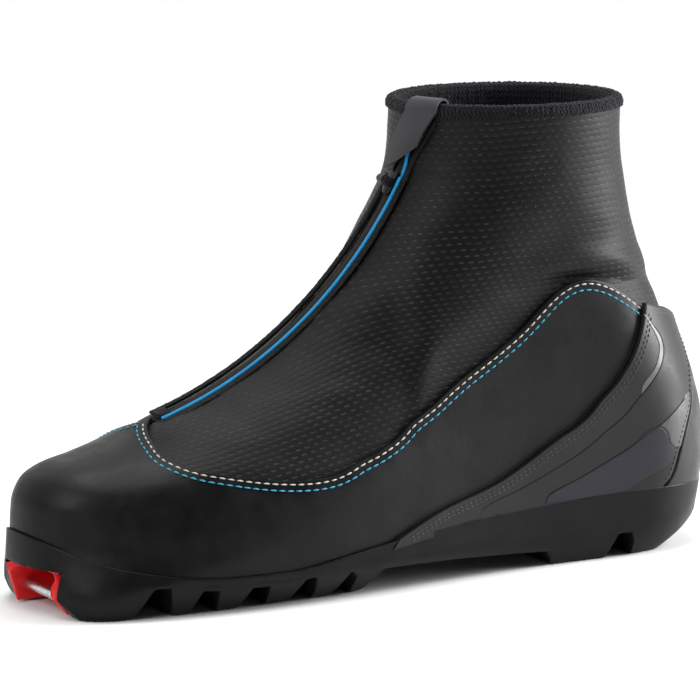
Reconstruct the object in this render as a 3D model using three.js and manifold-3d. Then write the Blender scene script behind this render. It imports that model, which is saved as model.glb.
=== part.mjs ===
// Cross country ski boot, left foot. Millimetres, +Z up, toe at -X, outer (lateral) side at -Y.
import * as THREE from 'three';
import { mergeVertices } from 'three/addons/utils/BufferGeometryUtils.js';
import Module from 'manifold-3d';

const wasm = await Module();
wasm.setup();

// ---------------------------------------------------------------- driving sizes
const bootLength = 287;          // toe tip of the sole to the heel backstay
const bootWidth = 104;           // over the sole at the ball of the foot
const collarHeight = 170;        // ground to the top of the fabric at the collar
const upperSkin = 1.6;           // vamp thickness
const fabricSkin = 1.5;          // softshell, toe puff and heel stiffener thickness
const liningSkin = 2.0;
const counterSkin = 2.0;         // moulded heel counter and backstay
const gap = 0.3;                 // between pieces that touch
const barDiameter = 4;           // steel toe bar
const pocketWidth = 28;          // clear width inside the red insert
const insertWall = 1.7;
const zipRadius = 163;           // the zip runs on one true circle, so the slider can hinge along it
const zipTilt = 0.06;            // the zip plane leans this much sideways per unit of height
const zipHalfGap = 3.4;          // half the opening between the two fabric edges
const coilHalf = 1.9;
const sliderWidth = 5.8;
const tabWidth = 13;
const tabLength = 29;

// Scales that carry the design proportions to the driving sizes.
const X = (x) => x * bootLength / 287;
const Y = (y) => y * bootWidth / 104;
const Z = (z) => z * collarHeight / 170;

// ---------------------------------------------------------------- small maths
const clamp = (v, a, b) => Math.min(b, Math.max(a, v));
const ease = (a, b, v) => {
  const t = clamp((v - a) / (b - a), 0, 1);
  return t * t * (3 - 2 * t);
};

// Smooth curve value(key) through [key, value] pairs, with no overshoot between them.
function curve(points) {
  const k = points.map((p) => p[0]);
  const v = points.map((p) => p[1]);
  const n = k.length;
  const d = k.slice(1).map((_, i) => (v[i + 1] - v[i]) / (k[i + 1] - k[i]));
  const m = v.map((_, i) => {
    if (i === 0) return d[0];
    if (i === n - 1) return d[n - 2];
    if (d[i - 1] * d[i] <= 0) return 0;
    return 2 * d[i - 1] * d[i] / (d[i - 1] + d[i]);
  });
  return (q) => {
    if (q <= k[0]) return v[0];
    if (q >= k[n - 1]) return v[n - 1];
    let i = 0;
    while (q > k[i + 1]) i += 1;
    const h = k[i + 1] - k[i];
    const t = (q - k[i]) / h;
    const a = (1 + 2 * t) * (1 - t) ** 2 * v[i] + t * (1 - t) ** 2 * h * m[i];
    return a + t * t * (3 - 2 * t) * v[i + 1] + t * t * (t - 1) * h * m[i + 1];
  };
}

// ---------------------------------------------------------------- zip circle
const throat = [X(-89.6), Z(61.8)];
const zipTop = [X(12.5), Z(147.1)];
const zipCentre = (() => {
  const mid = [(throat[0] + zipTop[0]) / 2, (throat[1] + zipTop[1]) / 2];
  const run = [zipTop[0] - throat[0], zipTop[1] - throat[1]];
  const half = Math.hypot(...run) / 2;
  const rise = Math.sqrt(zipRadius ** 2 - half ** 2);
  return [mid[0] - run[1] / (2 * half) * rise, mid[1] + run[0] / (2 * half) * rise];
})();
const zipAngleOf = (p) => Math.atan2(p[1] - zipCentre[1], p[0] - zipCentre[0]);
const zipLow = zipAngleOf(throat);
const zipHigh = zipAngleOf(zipTop);
const zipY = (z) => 3 - zipTilt * (z - 60);       // middle plane of the zip

// ---------------------------------------------------------------- last (foot form) surface
const arcPoints = [];
for (let i = 0; i <= 8; i += 1) {
  const a = zipLow + (zipHigh - zipLow) * i / 8;
  arcPoints.push([zipCentre[1] + zipRadius * Math.sin(a), zipCentre[0] + zipRadius * Math.cos(a)]);
}
const frontAt = curve([
  [Z(0), X(-141.5)], [Z(26), X(-141)], [Z(37), X(-140.5)], [Z(44.5), X(-137)],
  [Z(49), X(-129)], [Z(52.2), X(-115)], [Z(56.3), X(-101)],
  ...arcPoints, [Z(158), X(14.8)], [Z(175), X(16)],
]);
const backAt = curve([
  [0, 133], [12, 135], [22, 137], [34, 138.5], [48, 138], [62, 134.6], [76, 129.4], [90, 124], [105, 117.8],
  [120, 112.3], [135, 107.8], [150, 105], [162, 104], [175, 104],
].map(([z, x]) => [Z(z), X(x)]));

const topSamples = [];
for (let i = 0; i <= 400; i += 1) {
  const z = Z(26 + (158 - 26) * i / 400);
  topSamples.push([frontAt(z), z]);
}
// Height of the toe and instep ridge over x; far above everything behind the collar's front.
function ridgeAt(x) {
  if (x >= topSamples.at(-1)[0] - 0.4) return 1e6;
  let a = 0;
  let b = topSamples.length - 1;
  while (b - a > 1) {
    const m = (a + b) >> 1;
    if (topSamples[m][0] <= x) a = m;
    else b = m;
  }
  const [xa, za] = topSamples[a];
  const [xb, zb] = topSamples[b];
  return za + (zb - za) * clamp((x - xa) / Math.max(xb - xa, 1e-6), 0, 1);
}
const soleHalf = curve([
  [-143, 40], [-120, 42], [-100, 44.5], [-75, 47], [-50, 47.3], [-25, 45.3],
  [0, 41.5], [25, 38], [50, 36], [80, 35.5], [110, 36], [143, 35],
].map(([x, w]) => [X(x), Y(w)]));
const ankleHalf = curve([
  [0, 38], [60, 38], [90, 36.5], [110, 36.5], [140, 38.5], [175, 40.3],
].map(([z, w]) => [Z(z), Y(w)]));
const frontDepth = curve([
  [0, 20], [7, 24], [14, 36], [26, 54], [40, 60], [60, 50], [90, 50], [130, 52], [175, 45.5],
]);
const topDepth = curve([[-143, 30], [-110, 27], [-80, 34], [-40, 50], [0, 60]]);
const backDepth = curve([[0, 36], [40, 37], [80, 42], [120, 46], [175, 45.5]]);
const toeSwing = (x) => 3 * ease(X(-60), X(-143), x);   // the last bends inwards towards the toe
// The toe is cut in on the medial side, as a share of the lateral half width.
const medialShare = (x) => 1 - 0.36 * ease(X(-50), X(-143), x);
const rounded = (q) => (1 - (1 - clamp(q, 1e-9, 1)) ** 2.1) ** (1 / 2.1);

function halfWidth(x, z) {
  const front = Math.max(x - frontAt(z), 1e-6);
  const under = Math.max(ridgeAt(x) - z, 1e-6);
  const topPull = Z(topDepth(x)) / under * (1 - ease(X(-6), X(14), x));
  const q = 1 / Math.hypot(X(frontDepth(z)) / front, topPull);
  const qb = (backAt(z) - x) / X(backDepth(z));
  const k = ease(Z(40), Z(105), z);
  const w = soleHalf(x) * (1 - k) + ankleHalf(z) * k;
  return w * rounded(q) * rounded(qb);
}

// Point of the form at ring angle t (0 front ridge, pi back, lateral side first) and height z.
function formPoint(t, z) {
  const a = frontAt(z);
  const b = backAt(z);
  const x = a + (b - a) * (1 - Math.cos(t)) / 2;
  const w = halfWidth(x, z);
  const reach = Math.sin(t) > 0 ? -w : w * medialShare(x);
  return new THREE.Vector3(x, toeSwing(x) + reach, z);
}
function formNormal(t, z) {
  const e = 0.02;
  const tt = Math.abs(Math.sin(t)) < e ? t + e : t;
  const along = formPoint(tt + e / 2, z).sub(formPoint(tt - e / 2, z));
  const up = formPoint(tt, z + 0.25).sub(formPoint(tt, z - 0.25));
  const n = along.cross(up).normalize();
  if (tt !== t) n.y = 0;
  return n.normalize();
}
const offsetPoint = (t, z, d) => formPoint(t, z).addScaledVector(formNormal(t, z), d);

// ---------------------------------------------------------------- solids
function solidOf(geometry) {
  const g = geometry.clone();
  g.deleteAttribute('normal');
  g.deleteAttribute('uv');
  const m = mergeVertices(g, 1e-4);
  return new wasm.Manifold(new wasm.Mesh({
    numProp: 3,
    vertProperties: new Float32Array(m.attributes.position.array),
    triVerts: new Uint32Array(m.index.array),
  }));
}
function geometryOf(solid) {
  const mesh = solid.getMesh();
  const g = new THREE.BufferGeometry();
  g.setAttribute('position', new THREE.BufferAttribute(new Float32Array(mesh.vertProperties), 3));
  g.setIndex(new THREE.BufferAttribute(new Uint32Array(mesh.triVerts), 1));
  return g;
}
function gridSolid(vertices, triangles) {
  const g = new THREE.BufferGeometry();
  g.setAttribute('position', new THREE.BufferAttribute(new Float32Array(vertices.flat()), 3));
  g.setIndex(triangles.flat());
  return solidOf(g);
}

const allLevels = [
  4, 14, 24, 33, 40, 44, 47.5, 50, 52.7, 56, 61, 68, 77, 88, 101, 116, 131, 143, 151, 161, 170,
].map(Z);
const ringSteps = 30;

// Closed tube between two offsets of the form, through the given heights.
function tube(levels, outer, inner, steps = ringSteps) {
  const v = [];
  const f = [];
  const rows = levels.length;
  for (const d of [outer, inner]) {
    for (const z of levels) {
      for (let i = 0; i < steps; i += 1) {
        v.push(offsetPoint(2 * Math.PI * i / steps, z, d).toArray());
      }
    }
  }
  const id = (side, r, i) => (side * rows + r) * steps + (i % steps);
  const quad = (a, b, c, d) => f.push([a, b, c], [a, c, d]);
  for (let i = 0; i < steps; i += 1) {
    for (let r = 0; r + 1 < rows; r += 1) {
      quad(id(0, r, i), id(0, r, i + 1), id(0, r + 1, i + 1), id(0, r + 1, i));
      quad(id(1, r, i), id(1, r + 1, i), id(1, r + 1, i + 1), id(1, r, i + 1));
    }
    quad(id(0, 0, i), id(1, 0, i), id(1, 0, i + 1), id(0, 0, i + 1));
    quad(id(0, rows - 1, i), id(0, rows - 1, i + 1), id(1, rows - 1, i + 1), id(1, rows - 1, i));
  }
  return gridSolid(v, f);
}
// Full body inside an offset of the form.
function core(levels, offsetAt, steps = ringSteps) {
  const v = [];
  const f = [];
  const rows = levels.length;
  for (const z of levels) {
    for (let i = 0; i < steps; i += 1) {
      const t = 2 * Math.PI * i / steps;
      v.push(offsetPoint(t, z, offsetAt(z, formPoint(t, z).x)).toArray());
    }
  }
  const id = (r, i) => r * steps + (i % steps);
  for (let i = 0; i < steps; i += 1) {
    for (let r = 0; r + 1 < rows; r += 1) {
      f.push([id(r, i), id(r, i + 1), id(r + 1, i + 1)], [id(r, i), id(r + 1, i + 1), id(r + 1, i)]);
    }
  }
  for (const [r, flip] of [[0, true], [rows - 1, false]]) {
    const ring = v.slice(id(r, 0), id(r, 0) + steps).map(([x, y]) => new THREE.Vector2(x, y));
    for (const [a, b, c] of THREE.ShapeUtils.triangulateShape(ring, [])) {
      f.push(flip ? [id(r, a), id(r, c), id(r, b)] : [id(r, a), id(r, b), id(r, c)]);
    }
  }
  return gridSolid(v, f);
}

function box(x0, x1, y0, y1, z0, z1) {
  const g = new THREE.BoxGeometry(x1 - x0, y1 - y0, z1 - z0);
  g.translate((x0 + x1) / 2, (y0 + y1) / 2, (z0 + z1) / 2);
  return solidOf(g);
}
// Prism of a side-view outline (x, z), through the whole width or between two y.
function sidePrism(points, y0 = -90, y1 = 90) {
  const shape = new THREE.Shape(points.map(([x, z]) => new THREE.Vector2(x, z)));
  const g = new THREE.ExtrudeGeometry(shape, { depth: y1 - y0, bevelEnabled: false, steps: 1 });
  g.rotateX(Math.PI / 2);
  g.translate(0, y1, 0);
  return solidOf(g);
}
function smooth(points, perSpan = 4) {
  const c = new THREE.SplineCurve(points.map(([x, z]) => new THREE.Vector2(x, z)));
  return c.getPoints((points.length - 1) * perSpan).map((p) => [p.x, p.y]);
}
const scaled = (points) => points.map(([x, z]) => [X(x), Z(z)]);
// Polygon between two height functions of x.
function bandOutline(low, high, x0, x1, step = 8) {
  const n = Math.max(2, Math.ceil((x1 - x0) / step));
  const xs = Array.from({ length: n + 1 }, (_, i) => x0 + (x1 - x0) * i / n);
  return [...xs.map((x) => [x, low(x)]), ...xs.slice().reverse().map((x) => [x, high(x)])];
}
const FAR = 260;
// Everything on one side of the middle plane: -1 lateral, 1 medial.
const sideBox = (s, start = 0) => (
  s < 0 ? box(-FAR, FAR, -FAR, -start, -FAR, FAR) : box(-FAR, FAR, start, FAR, -FAR, FAR)
);

// ---------------------------------------------------------------- guide lines of the design
const featherAt = curve([
  [-143, 29], [-138, 26.5], [-133, 24], [-127, 21], [-118, 18.3], [-110, 16.8], [-100, 15.2], [-82, 13.6],
  [-60, 13.6], [-40, 16], [-17, 19.2], [22, 23], [53, 24.4], [90, 26], [110, 26], [124, 24.5], [141, 22.5],
].map(([x, z]) => [X(x), Z(z)]));
const featherLine = [];
for (let x = 150; x >= -150; x -= 10) featherLine.push([X(x), featherAt(X(x))]);
const seatAt = curve([
  [-143, 20.5], [-119, 19.2], [-108, 15.5], [-96, 12], [-82, 10.6], [-60, 10.4], [-40, 12], [-17, 14.5],
  [22, 17.2], [53, 18], [143, 18],
].map(([x, z]) => [X(x), Z(z)]));
const boardThickness = 1.8;
const boardTop = (x) => seatAt(x) + gap + boardThickness;
const footbedThickness = 3;

// Vamp edge on the lateral side, as points of the form (x, y, z); the medial side mirrors it.
const vampEdge = [
  [-81, 12, 72], [-88, 0, 62.2], [-94, -7, 58.6], [-96.6, -19, 55], [-95.4, -28, 52.6], [-88, -35.5, 50.6],
  [-75, -42, 49.4], [-63, -45, 47.6], [-49, -47, 46.6], [-39, -47, 46.6], [-30, -47, 48.4],
  [-17, -44, 55.3], [-2, -42, 63.4], [9, -40, 71.4], [25, -39, 80.4], [49, -38, 95.4],
  [59.5, -38, 107], [67.5, -38, 110.6], [77.5, -38, 110.4], [87, -37, 105.3], [97, -35, 98.4],
  [110, -30, 88], [126, -20, 78], [150, -20, 72],
];
// Seen square to the lateral shoulder of the boot, an edge point lies at (x, slant).
const slant = (y, z) => (z + y) / Math.SQRT2;
const edgeLine = smooth(vampEdge.map(([x, y, z]) => [X(x), slant(Y(y), Z(z))]), 3);
// Everything above the vamp edge, lateral and medial side.
function aboveVampEdge() {
  const outline = [...edgeLine, [FAR, edgeLine.at(-1)[1]], [FAR, FAR], [edgeLine[0][0], FAR]];
  const shape = new THREE.Shape(outline.map(([x, u]) => new THREE.Vector2(x, u)));
  const halves = [-1, 1].map((s) => {
    const g = new THREE.ExtrudeGeometry(shape, { depth: 2 * FAR, bevelEnabled: false, steps: 1 });
    g.translate(0, 0, -FAR);
    const along = new THREE.Vector3(1, 0, 0);
    const across = new THREE.Vector3(0, -s, 1).normalize();
    g.applyMatrix4(new THREE.Matrix4().makeBasis(along, across, along.clone().cross(across)));
    return solidOf(g).intersect(sideBox(s));
  });
  return halves[0].add(halves[1]);
}

// Front edge of the heel counter and its seam with the backstay, side view.
const counterFront = scaled([
  [-13, 20], [4, 27], [36, 36], [63, 50], [82, 64.5], [92, 76], [97.5, 88], [99, 97],
]);
const counterTop = scaled([[99, 97], [111, 92], [122, 86], [133, 79.5], [150, 74]]);
const backstaySeam = scaled([
  [127, 88], [126, 74], [124, 64], [119, 50], [114, 38.5], [109.5, 28], [105, 10],
]);

// ---------------------------------------------------------------- zip frame
const zipAxis = new THREE.Vector3(0, 1, zipTilt).normalize();
const zipHub = new THREE.Vector3(zipCentre[0], zipY(zipCentre[1]), zipCentre[1]);
const zipUp = new THREE.Vector3(1, 0, 0).cross(zipAxis).normalize();   // in the zip plane, up
// Point at zip angle a, offset across (towards the medial side) and outwards from the surface.
function zipPoint(a, across, outwards) {
  const r = zipRadius - outwards;
  return zipHub.clone()
    .addScaledVector(new THREE.Vector3(1, 0, 0), r * Math.cos(a))
    .addScaledVector(zipUp, r * Math.sin(a))
    .addScaledVector(zipAxis, across);
}
// Bar of rectangular section following the zip circle.
function zipBar(a0, a1, y0, y1, n0, n1, steps) {
  const v = [];
  const f = [];
  for (let i = 0; i <= steps; i += 1) {
    const a = a0 + (a1 - a0) * i / steps;
    for (const [y, n] of [[y0, n0], [y1, n0], [y1, n1], [y0, n1]]) v.push(zipPoint(a, y, n).toArray());
  }
  for (let i = 0; i < steps; i += 1) {
    for (let k = 0; k < 4; k += 1) {
      const a = 4 * i + k;
      const b = 4 * i + (k + 1) % 4;
      f.push([a, b, b + 4], [a, b + 4, a + 4]);
    }
  }
  const e = 4 * steps;
  f.push([0, 2, 1], [0, 3, 2], [e, e + 1, e + 2], [e, e + 2, e + 3]);
  return gridSolid(v, f);
}
const heelSplit = X(61);         // behind this x the upper is split by the middle plane, not the zip plane
// Slab across the zip plane, in front of the ankle, between two distances from the plane.
function zipSlab(y0, y1, backX = heelSplit) {
  const g = new THREE.BoxGeometry(FAR + backX, y1 - y0, 2 * FAR);
  g.translate((backX - FAR) / 2, (y0 + y1) / 2, 0);
  g.rotateX(Math.atan(zipTilt));
  g.translate(0, zipY(0), 0);
  return solidOf(g);
}

// ---------------------------------------------------------------- assembly of named meshes
const boot = new THREE.Group();
function addPart(name, solid, colour, roughness, metalness = 0) {
  const material = new THREE.MeshStandardMaterial({ color: colour, roughness, metalness });
  const mesh = new THREE.Mesh(geometryOf(solid), material);
  mesh.name = name;
  boot.add(mesh);
}

// Layers, as offsets of the form.
const vampInner = gap;
const vampOuter = vampInner + upperSkin;
const counterInner = vampOuter + gap;
const counterOuter = counterInner + counterSkin;
const tapeOuter = -fabricSkin - 0.5;
const tapeInner = tapeOuter - 0.4;
const liningOuter = tapeInner - gap;
const liningInner = liningOuter - liningSkin;
const tongueOuter = liningInner - gap;
const tongueInner = tongueOuter - 1.5;
const soleOuter = counterOuter + 0.3;
// How far the sole's wall stands out: close to the vamp in front, outside the counter behind.
const soleReach = curve([[-143, 3], [-60, 3.1], [-15, 3.8], [20, soleOuter], [143, soleOuter]]);

// ---- sole
const lugs = [[-101.5, -94.5], [-84, -75.5], [-64, -55], [-45, -36.5], [-29, -23]];
const notchTop = [11.6, 11.4, 10.8, 10, 10.2];
function soleOutline() {
  const p = [[-149, 20], [-136, 0], [-115.5, 0], [-110, notchTop[0]]];
  lugs.forEach(([a, b], i) => {
    p.push([a - 2.4, notchTop[i]], [a, 0], [b, 0]);
    if (i + 1 < lugs.length) p.push([b + 3.4, notchTop[i + 1]]);
  });
  p.push([-18.5, 9.4], [10, 8.6], [57, 5.8], [60, 0], [84.5, 0], [87.5, 9.6], [94, 9.6], [95.8, 0]);
  p.push([109.5, 0], [125, 8.5], [141, 17]);
  return [...scaled(p), ...featherLine];
}
const aboveSeat = (lift, x0 = X(-160), x1 = X(160)) => sidePrism(
  bandOutline((x) => seatAt(x) + lift, () => FAR, x0, x1),
);
const soleLevels = [0, 3, 7, 12, 20, 33].map(Z);
// The sole's wall leans in towards the ground, most under the ball of the foot.
const wallLean = curve([
  [-143, 2.2], [-116, 6], [-100, 7.1], [-80, 9.4], [-60, 11], [-26, 11.4], [10, 8.8], [60, 5.2],
  [86, 4.5], [108, 6.5], [143, 6],
].map(([x, v]) => [X(x), v]));
const soleInset = (z, x) => soleReach(x) - wallLean(x) * (1 - clamp(z / Z(13), 0, 1)) ** 1.4;
let outsole = core(soleLevels, soleInset).intersect(sidePrism(soleOutline()));
const cupLevels = allLevels.filter((z) => z < Z(46));
outsole = outsole.subtract(core(cupLevels, () => counterInner).intersect(aboveSeat(0)));

// Slot for the shank, under the seat.
const shankHalf = 12;
const shankThick = 2;
const shankFrom = X(-38);
const shankTo = X(84);
const shankSlot = sidePrism(
  bandOutline((x) => seatAt(x) - shankThick - 2 * gap, (x) => seatAt(x) + 2, shankFrom - gap, shankTo + gap),
  -shankHalf - gap, shankHalf + gap,
);
outsole = outsole.subtract(shankSlot);

// Two guide grooves that run over the rails of a binding plate.
const grooveY = 12.5;
const grooveHalf = 4;
const grooveTop = 3;
for (const side of [-1, 1]) {
  outsole = outsole.subtract(
    box(X(-114), X(120), side * grooveY - grooveHalf, side * grooveY + grooveHalf, -5, grooveTop),
  );
}

// Toe pocket with its red insert and the steel bar.
const pocketBack = X(-121);
const pocketRoof = 14.5;
const pocketY = -7;              // the toe's own middle line, once its medial side is cut in
const barX = X(-135.5);
const barZ = 7;
const barReach = pocketWidth / 2 + insertWall + 1.8;
const insertHalf = pocketWidth / 2 + insertWall;
const insertBody = box(
  X(-160), pocketBack + insertWall, pocketY - insertHalf, pocketY + insertHalf,
  1.2, pocketRoof + insertWall,
);
const pocketHole = box(
  X(-161), pocketBack + insertWall + gap, pocketY - insertHalf - gap, pocketY + insertHalf + gap,
  -5, pocketRoof + insertWall + gap,
);
function barSolid(radius, reach, sides = 20) {
  const g = new THREE.CylinderGeometry(radius, radius, 2 * reach, sides);
  g.translate(barX, pocketY, barZ);
  return solidOf(g);
}
const insertShell = core([0, 3, 7, 12, 18, 25].map(Z), (z, x) => soleInset(z, x) + 0.6)
  .intersect(sidePrism(scaled([[-148, 32], [-147.2, 20], [-137.2, -1], [-100, -1], [-100, 32]])));
// The sole's front edge slopes back under the toe, more on the lateral side of the pocket.
const toeSlopes = [
  [-90, pocketY, [[-145, 20], [-142.3, 16], [-139, 7.3], [-132.5, 0], [-130.7, -2]]],
  [pocketY, 90, [[-145, 20], [-143.4, 15.4], [-139.2, 1.6], [-138.1, -2]]],
];
const toeCut = (ahead) => toeSlopes.map(([y0, y1, line]) => sidePrism(
  scaled([[-175, -2], [-175, 20], ...line]).map(([x, z]) => [x - ahead, z]), y0, y1,
));
for (const wedge of toeCut(0)) outsole = outsole.subtract(wedge);
let toeInsert = insertBody.intersect(insertShell)
  .subtract(box(X(-162), pocketBack, pocketY - pocketWidth / 2, pocketY + pocketWidth / 2, -5, pocketRoof))
  .subtract(barSolid(barDiameter / 2 + gap, barReach + 5));
for (const wedge of toeCut(0.6)) toeInsert = toeInsert.subtract(wedge);
outsole = outsole.subtract(pocketHole).subtract(barSolid(barDiameter / 2 + gap, barReach + gap));
addPart('outsole', outsole, 0x1b1c1e, 0.55);
addPart('toe_insert', toeInsert, 0xd4141a, 0.4);
addPart('toe_bar', barSolid(barDiameter / 2, barReach, 24), 0xb9bcc0, 0.28, 1);

// ---- inside the sole cup
const aboveBoard = aboveSeat(gap + boardThickness + gap);
const board = core(cupLevels, () => vampInner - gap)
  .intersect(sidePrism(bandOutline((x) => seatAt(x) + gap, boardTop, X(-160), X(160))));
addPart('insole_board', board, 0x6d675c, 0.9);
const shank = sidePrism(
  bandOutline((x) => seatAt(x) - shankThick - gap, (x) => seatAt(x) - gap, shankFrom, shankTo),
  -shankHalf, shankHalf,
);
addPart('shank', shank, 0x8a8d92, 0.35, 1);
const footbed = core(cupLevels, () => liningInner - gap).intersect(sidePrism(
  bandOutline((x) => boardTop(x) + gap, (x) => boardTop(x) + gap + footbedThickness, X(-160), X(160)),
));
addPart('footbed', footbed, 0x2b2d33, 0.95);

// ---- upper
const overEdge = aboveVampEdge();
const vampLevels = allLevels.filter((z) => z < Z(118));
const vamp = tube(vampLevels, vampOuter, vampInner).subtract(overEdge).intersect(aboveSeat(gap));
addPart('vamp', vamp, 0x1d1e20, 0.5);

const fabricLayer = tube(allLevels, 0, -fabricSkin).intersect(aboveBoard);
const stiffenerTop = scaled([
  [50, -20], [50, 26], [58, 42], [72, 60], [92, 74], [112, 76], [150, 66],
]);
const stiffenerZone = sidePrism([...stiffenerTop, [FAR, stiffenerTop.at(-1)[1]], [FAR, -20]]);
const fabricCut = sidePrism([
  ...stiffenerTop.map(([x, z]) => [x - (z < Z(60) ? gap : 0), z + gap]),
  [FAR, stiffenerTop.at(-1)[1] + gap], [FAR, -30],
]);
const puffBack = X(-106);
addPart('toe_puff', fabricLayer.intersect(box(-FAR, puffBack, -FAR, FAR, -20, FAR)), 0x3a3a3c, 0.8);
addPart('heel_stiffener', fabricLayer.intersect(stiffenerZone), 0x3a3a3c, 0.7);

const sock = fabricLayer.subtract(fabricCut).subtract(box(-FAR, puffBack + gap, -FAR, FAR, -20, FAR));
const sides = { lateral: -1, medial: 1 };
for (const [side, s] of Object.entries(sides)) {
  const front = s < 0 ? zipSlab(-FAR, -zipHalfGap) : zipSlab(zipHalfGap, FAR);
  const rear = sideBox(s, gap / 2).intersect(box(heelSplit, FAR, -FAR, FAR, -FAR, FAR));
  addPart(`softshell_${side}`, sock.intersect(front.add(rear)), 0x17181a, 0.75);
}

const counterFoot = featherLine.filter(([x]) => x > X(-10)).map(([x, z]) => [x, z + gap]);
const counterZone = sidePrism([...smooth(counterFront, 3), ...counterTop.slice(1), ...counterFoot]);
const backZone = sidePrism([...smooth(backstaySeam, 2), [FAR, Z(10)], [FAR, Z(88)]]);
const backZoneWide = sidePrism([
  ...smooth(backstaySeam, 2).map(([x, z]) => [x - gap, z]), [FAR, Z(9)], [FAR, Z(90)],
]);
const counterLevels = allLevels.filter((z) => z < Z(103));
const counterLayer = tube(counterLevels, counterOuter, counterInner).intersect(counterZone);
addPart('backstay', counterLayer.intersect(backZone), 0x26282c, 0.45);
const counterBody = counterLayer.subtract(backZoneWide);
for (const [side, s] of Object.entries(sides)) {
  addPart(`heel_counter_${side}`, counterBody.intersect(sideBox(s)), 0x2a2c30, 0.4);
}

// ---- inside of the upper
const lining = tube(allLevels, liningOuter, liningInner).intersect(aboveBoard).subtract(zipSlab(-5, 5));
addPart('lining', lining, 0x202126, 0.95);
const tongue = tube(allLevels, tongueOuter, tongueInner)
  .intersect(zipSlab(-15, 15, X(40)))
  .intersect(box(X(-78), FAR, -FAR, FAR, Z(40), Z(166)));
addPart('tongue', tongue, 0x1b1c20, 0.95);

const bindingTop = Z(173);
const bindingOuter = gap + 1.1;
const bindingBlock = tube([Z(163), Z(167), bindingTop], bindingOuter, liningInner);
const bindingHollow = tube([Z(150), Z(158), Z(167), Z(170) + gap], gap, liningInner - 2);
const binding = bindingBlock.subtract(bindingHollow).subtract(zipSlab(-zipHalfGap, zipHalfGap));
addPart('collar_binding', binding, 0x1a1c28, 0.98);

// ---- zip
const degrees = Math.PI / 180;
const tapeZone = { lateral: zipSlab(-8.5, -gap), medial: zipSlab(gap, 8.5) };
const tapeHeights = box(throat[0] + 2, FAR, -FAR, FAR, 0, Z(169));
const tapeLayer = tube(allLevels, tapeOuter, tapeInner);
const coilEnd = zipHigh + 0.2 * degrees;
const coilStart = zipLow + 1 * degrees;
const stopStart = zipLow + 1.6 * degrees;
const stopEnd = stopStart + 1.5 * degrees;
const pipeStart = stopStart + 0.3 * degrees;
const pipeEnd = zipHigh - 0.5 * degrees;
const pipeWidth = 1.6;
for (const [side, s] of Object.entries(sides)) {
  addPart(`zip_tape_${side}`, tapeLayer.intersect(tapeZone[side]).intersect(tapeHeights), 0x5b5854, 0.9);
  const y0 = s < 0 ? -coilHalf : gap / 2;
  const coil = zipBar(coilStart, coilEnd, y0, y0 + coilHalf - gap / 2, -1.4, -0.2, 20);
  addPart(`zip_coil_${side}`, coil, 0x4a4743, 0.6);
  const p0 = s < 0 ? -zipHalfGap - pipeWidth : zipHalfGap;
  const colour = s < 0 ? 0x1583d6 : 0x101113;
  addPart(`piping_${side}`, zipBar(pipeStart, pipeEnd, p0, p0 + pipeWidth, 0.4, 1.4, 20), colour, 0.6);
}
addPart('zip_bottom_stop', zipBar(stopStart, stopEnd, -3, 3, 0.2, 1.8, 2), 0x232426, 0.5);

// Slider: a bridge over the coil with two ears that hold the pull tab's pin.
const sliderHalf = 4.5 / zipRadius;
const sliderHome = zipHigh - 1.6 * degrees;
const pinOut = 4.6;
const wing = sliderWidth / 2;
const flange = 0.7;              // side walls that reach down past the coil
const ear = 0.9;                 // walls that stand up and hold the pin
const sa = sliderHome - sliderHalf;
const sb = sliderHome + sliderHalf;
const earHalf = 1.6 / zipRadius;
let slider = zipBar(sa, sb, -wing, wing, 0.1, 2.2, 4);
for (const s of [-1, 1]) {
  const a = s < 0 ? -wing : wing - flange;
  slider = slider.add(zipBar(sa, sb, a, a + flange, -1.2, 0.2, 4));
  const b = s < 0 ? -wing : wing - ear;
  slider = slider.add(
    zipBar(sliderHome - earHalf, sliderHome + earHalf, b, b + ear, 2.1, pinOut + 1.2, 2),
  );
}
const pinCentre = zipPoint(sliderHome, 0, pinOut);
function acrossRod(radius, half, sides) {
  const g = new THREE.CylinderGeometry(radius, radius, 2 * half, sides);
  g.applyQuaternion(new THREE.Quaternion().setFromUnitVectors(new THREE.Vector3(0, 1, 0), zipAxis));
  g.translate(pinCentre.x, pinCentre.y, pinCentre.z);
  return solidOf(g);
}
slider = slider.add(acrossRod(0.7, wing - 0.2, 12));
addPart('zip_slider', slider, 0xa8abb0, 0.3, 1);

// Pull tab: an eye on the pin, a neck and a flat webbing tab that leans out from the collar.
const tabLean = 8 * degrees;
const tabThick = 1.2;
function tabSolid() {
  const w = tabWidth / 2;
  const neck = 1.7;
  const outline = new THREE.Shape();
  outline.moveTo(-neck, 0.6);
  outline.lineTo(neck, 0.6);
  outline.lineTo(neck, 3.4);
  outline.quadraticCurveTo(w, 4, w, 7.5);
  outline.lineTo(w, tabLength - 2);
  outline.quadraticCurveTo(w, tabLength, w - 2, tabLength);
  outline.lineTo(-w + 2, tabLength);
  outline.quadraticCurveTo(-w, tabLength, -w, tabLength - 2);
  outline.lineTo(-w, 7.5);
  outline.quadraticCurveTo(-w, 4, -neck, 3.4);
  const g = new THREE.ExtrudeGeometry(outline, { depth: tabThick, bevelEnabled: false, curveSegments: 5 });
  g.translate(0, 0, -tabThick / 2);
  const out = new THREE.Vector3(-Math.cos(tabLean), 0, Math.sin(tabLean));
  const up = zipAxis.clone().cross(out).normalize();
  const front = zipAxis.clone().cross(up).normalize();
  g.applyMatrix4(new THREE.Matrix4().makeBasis(zipAxis, up, front));
  g.translate(pinCentre.x, pinCentre.y, pinCentre.z);
  return solidOf(g);
}
const tab = tabSolid().add(acrossRod(1.9, 1.7, 16)).subtract(acrossRod(1.0, 3, 16));
addPart('pull_tab', tab, 0x55575a, 0.8);

export default boot;
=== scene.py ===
"""Cross country ski boot, left foot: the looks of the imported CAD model."""
import math

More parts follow.
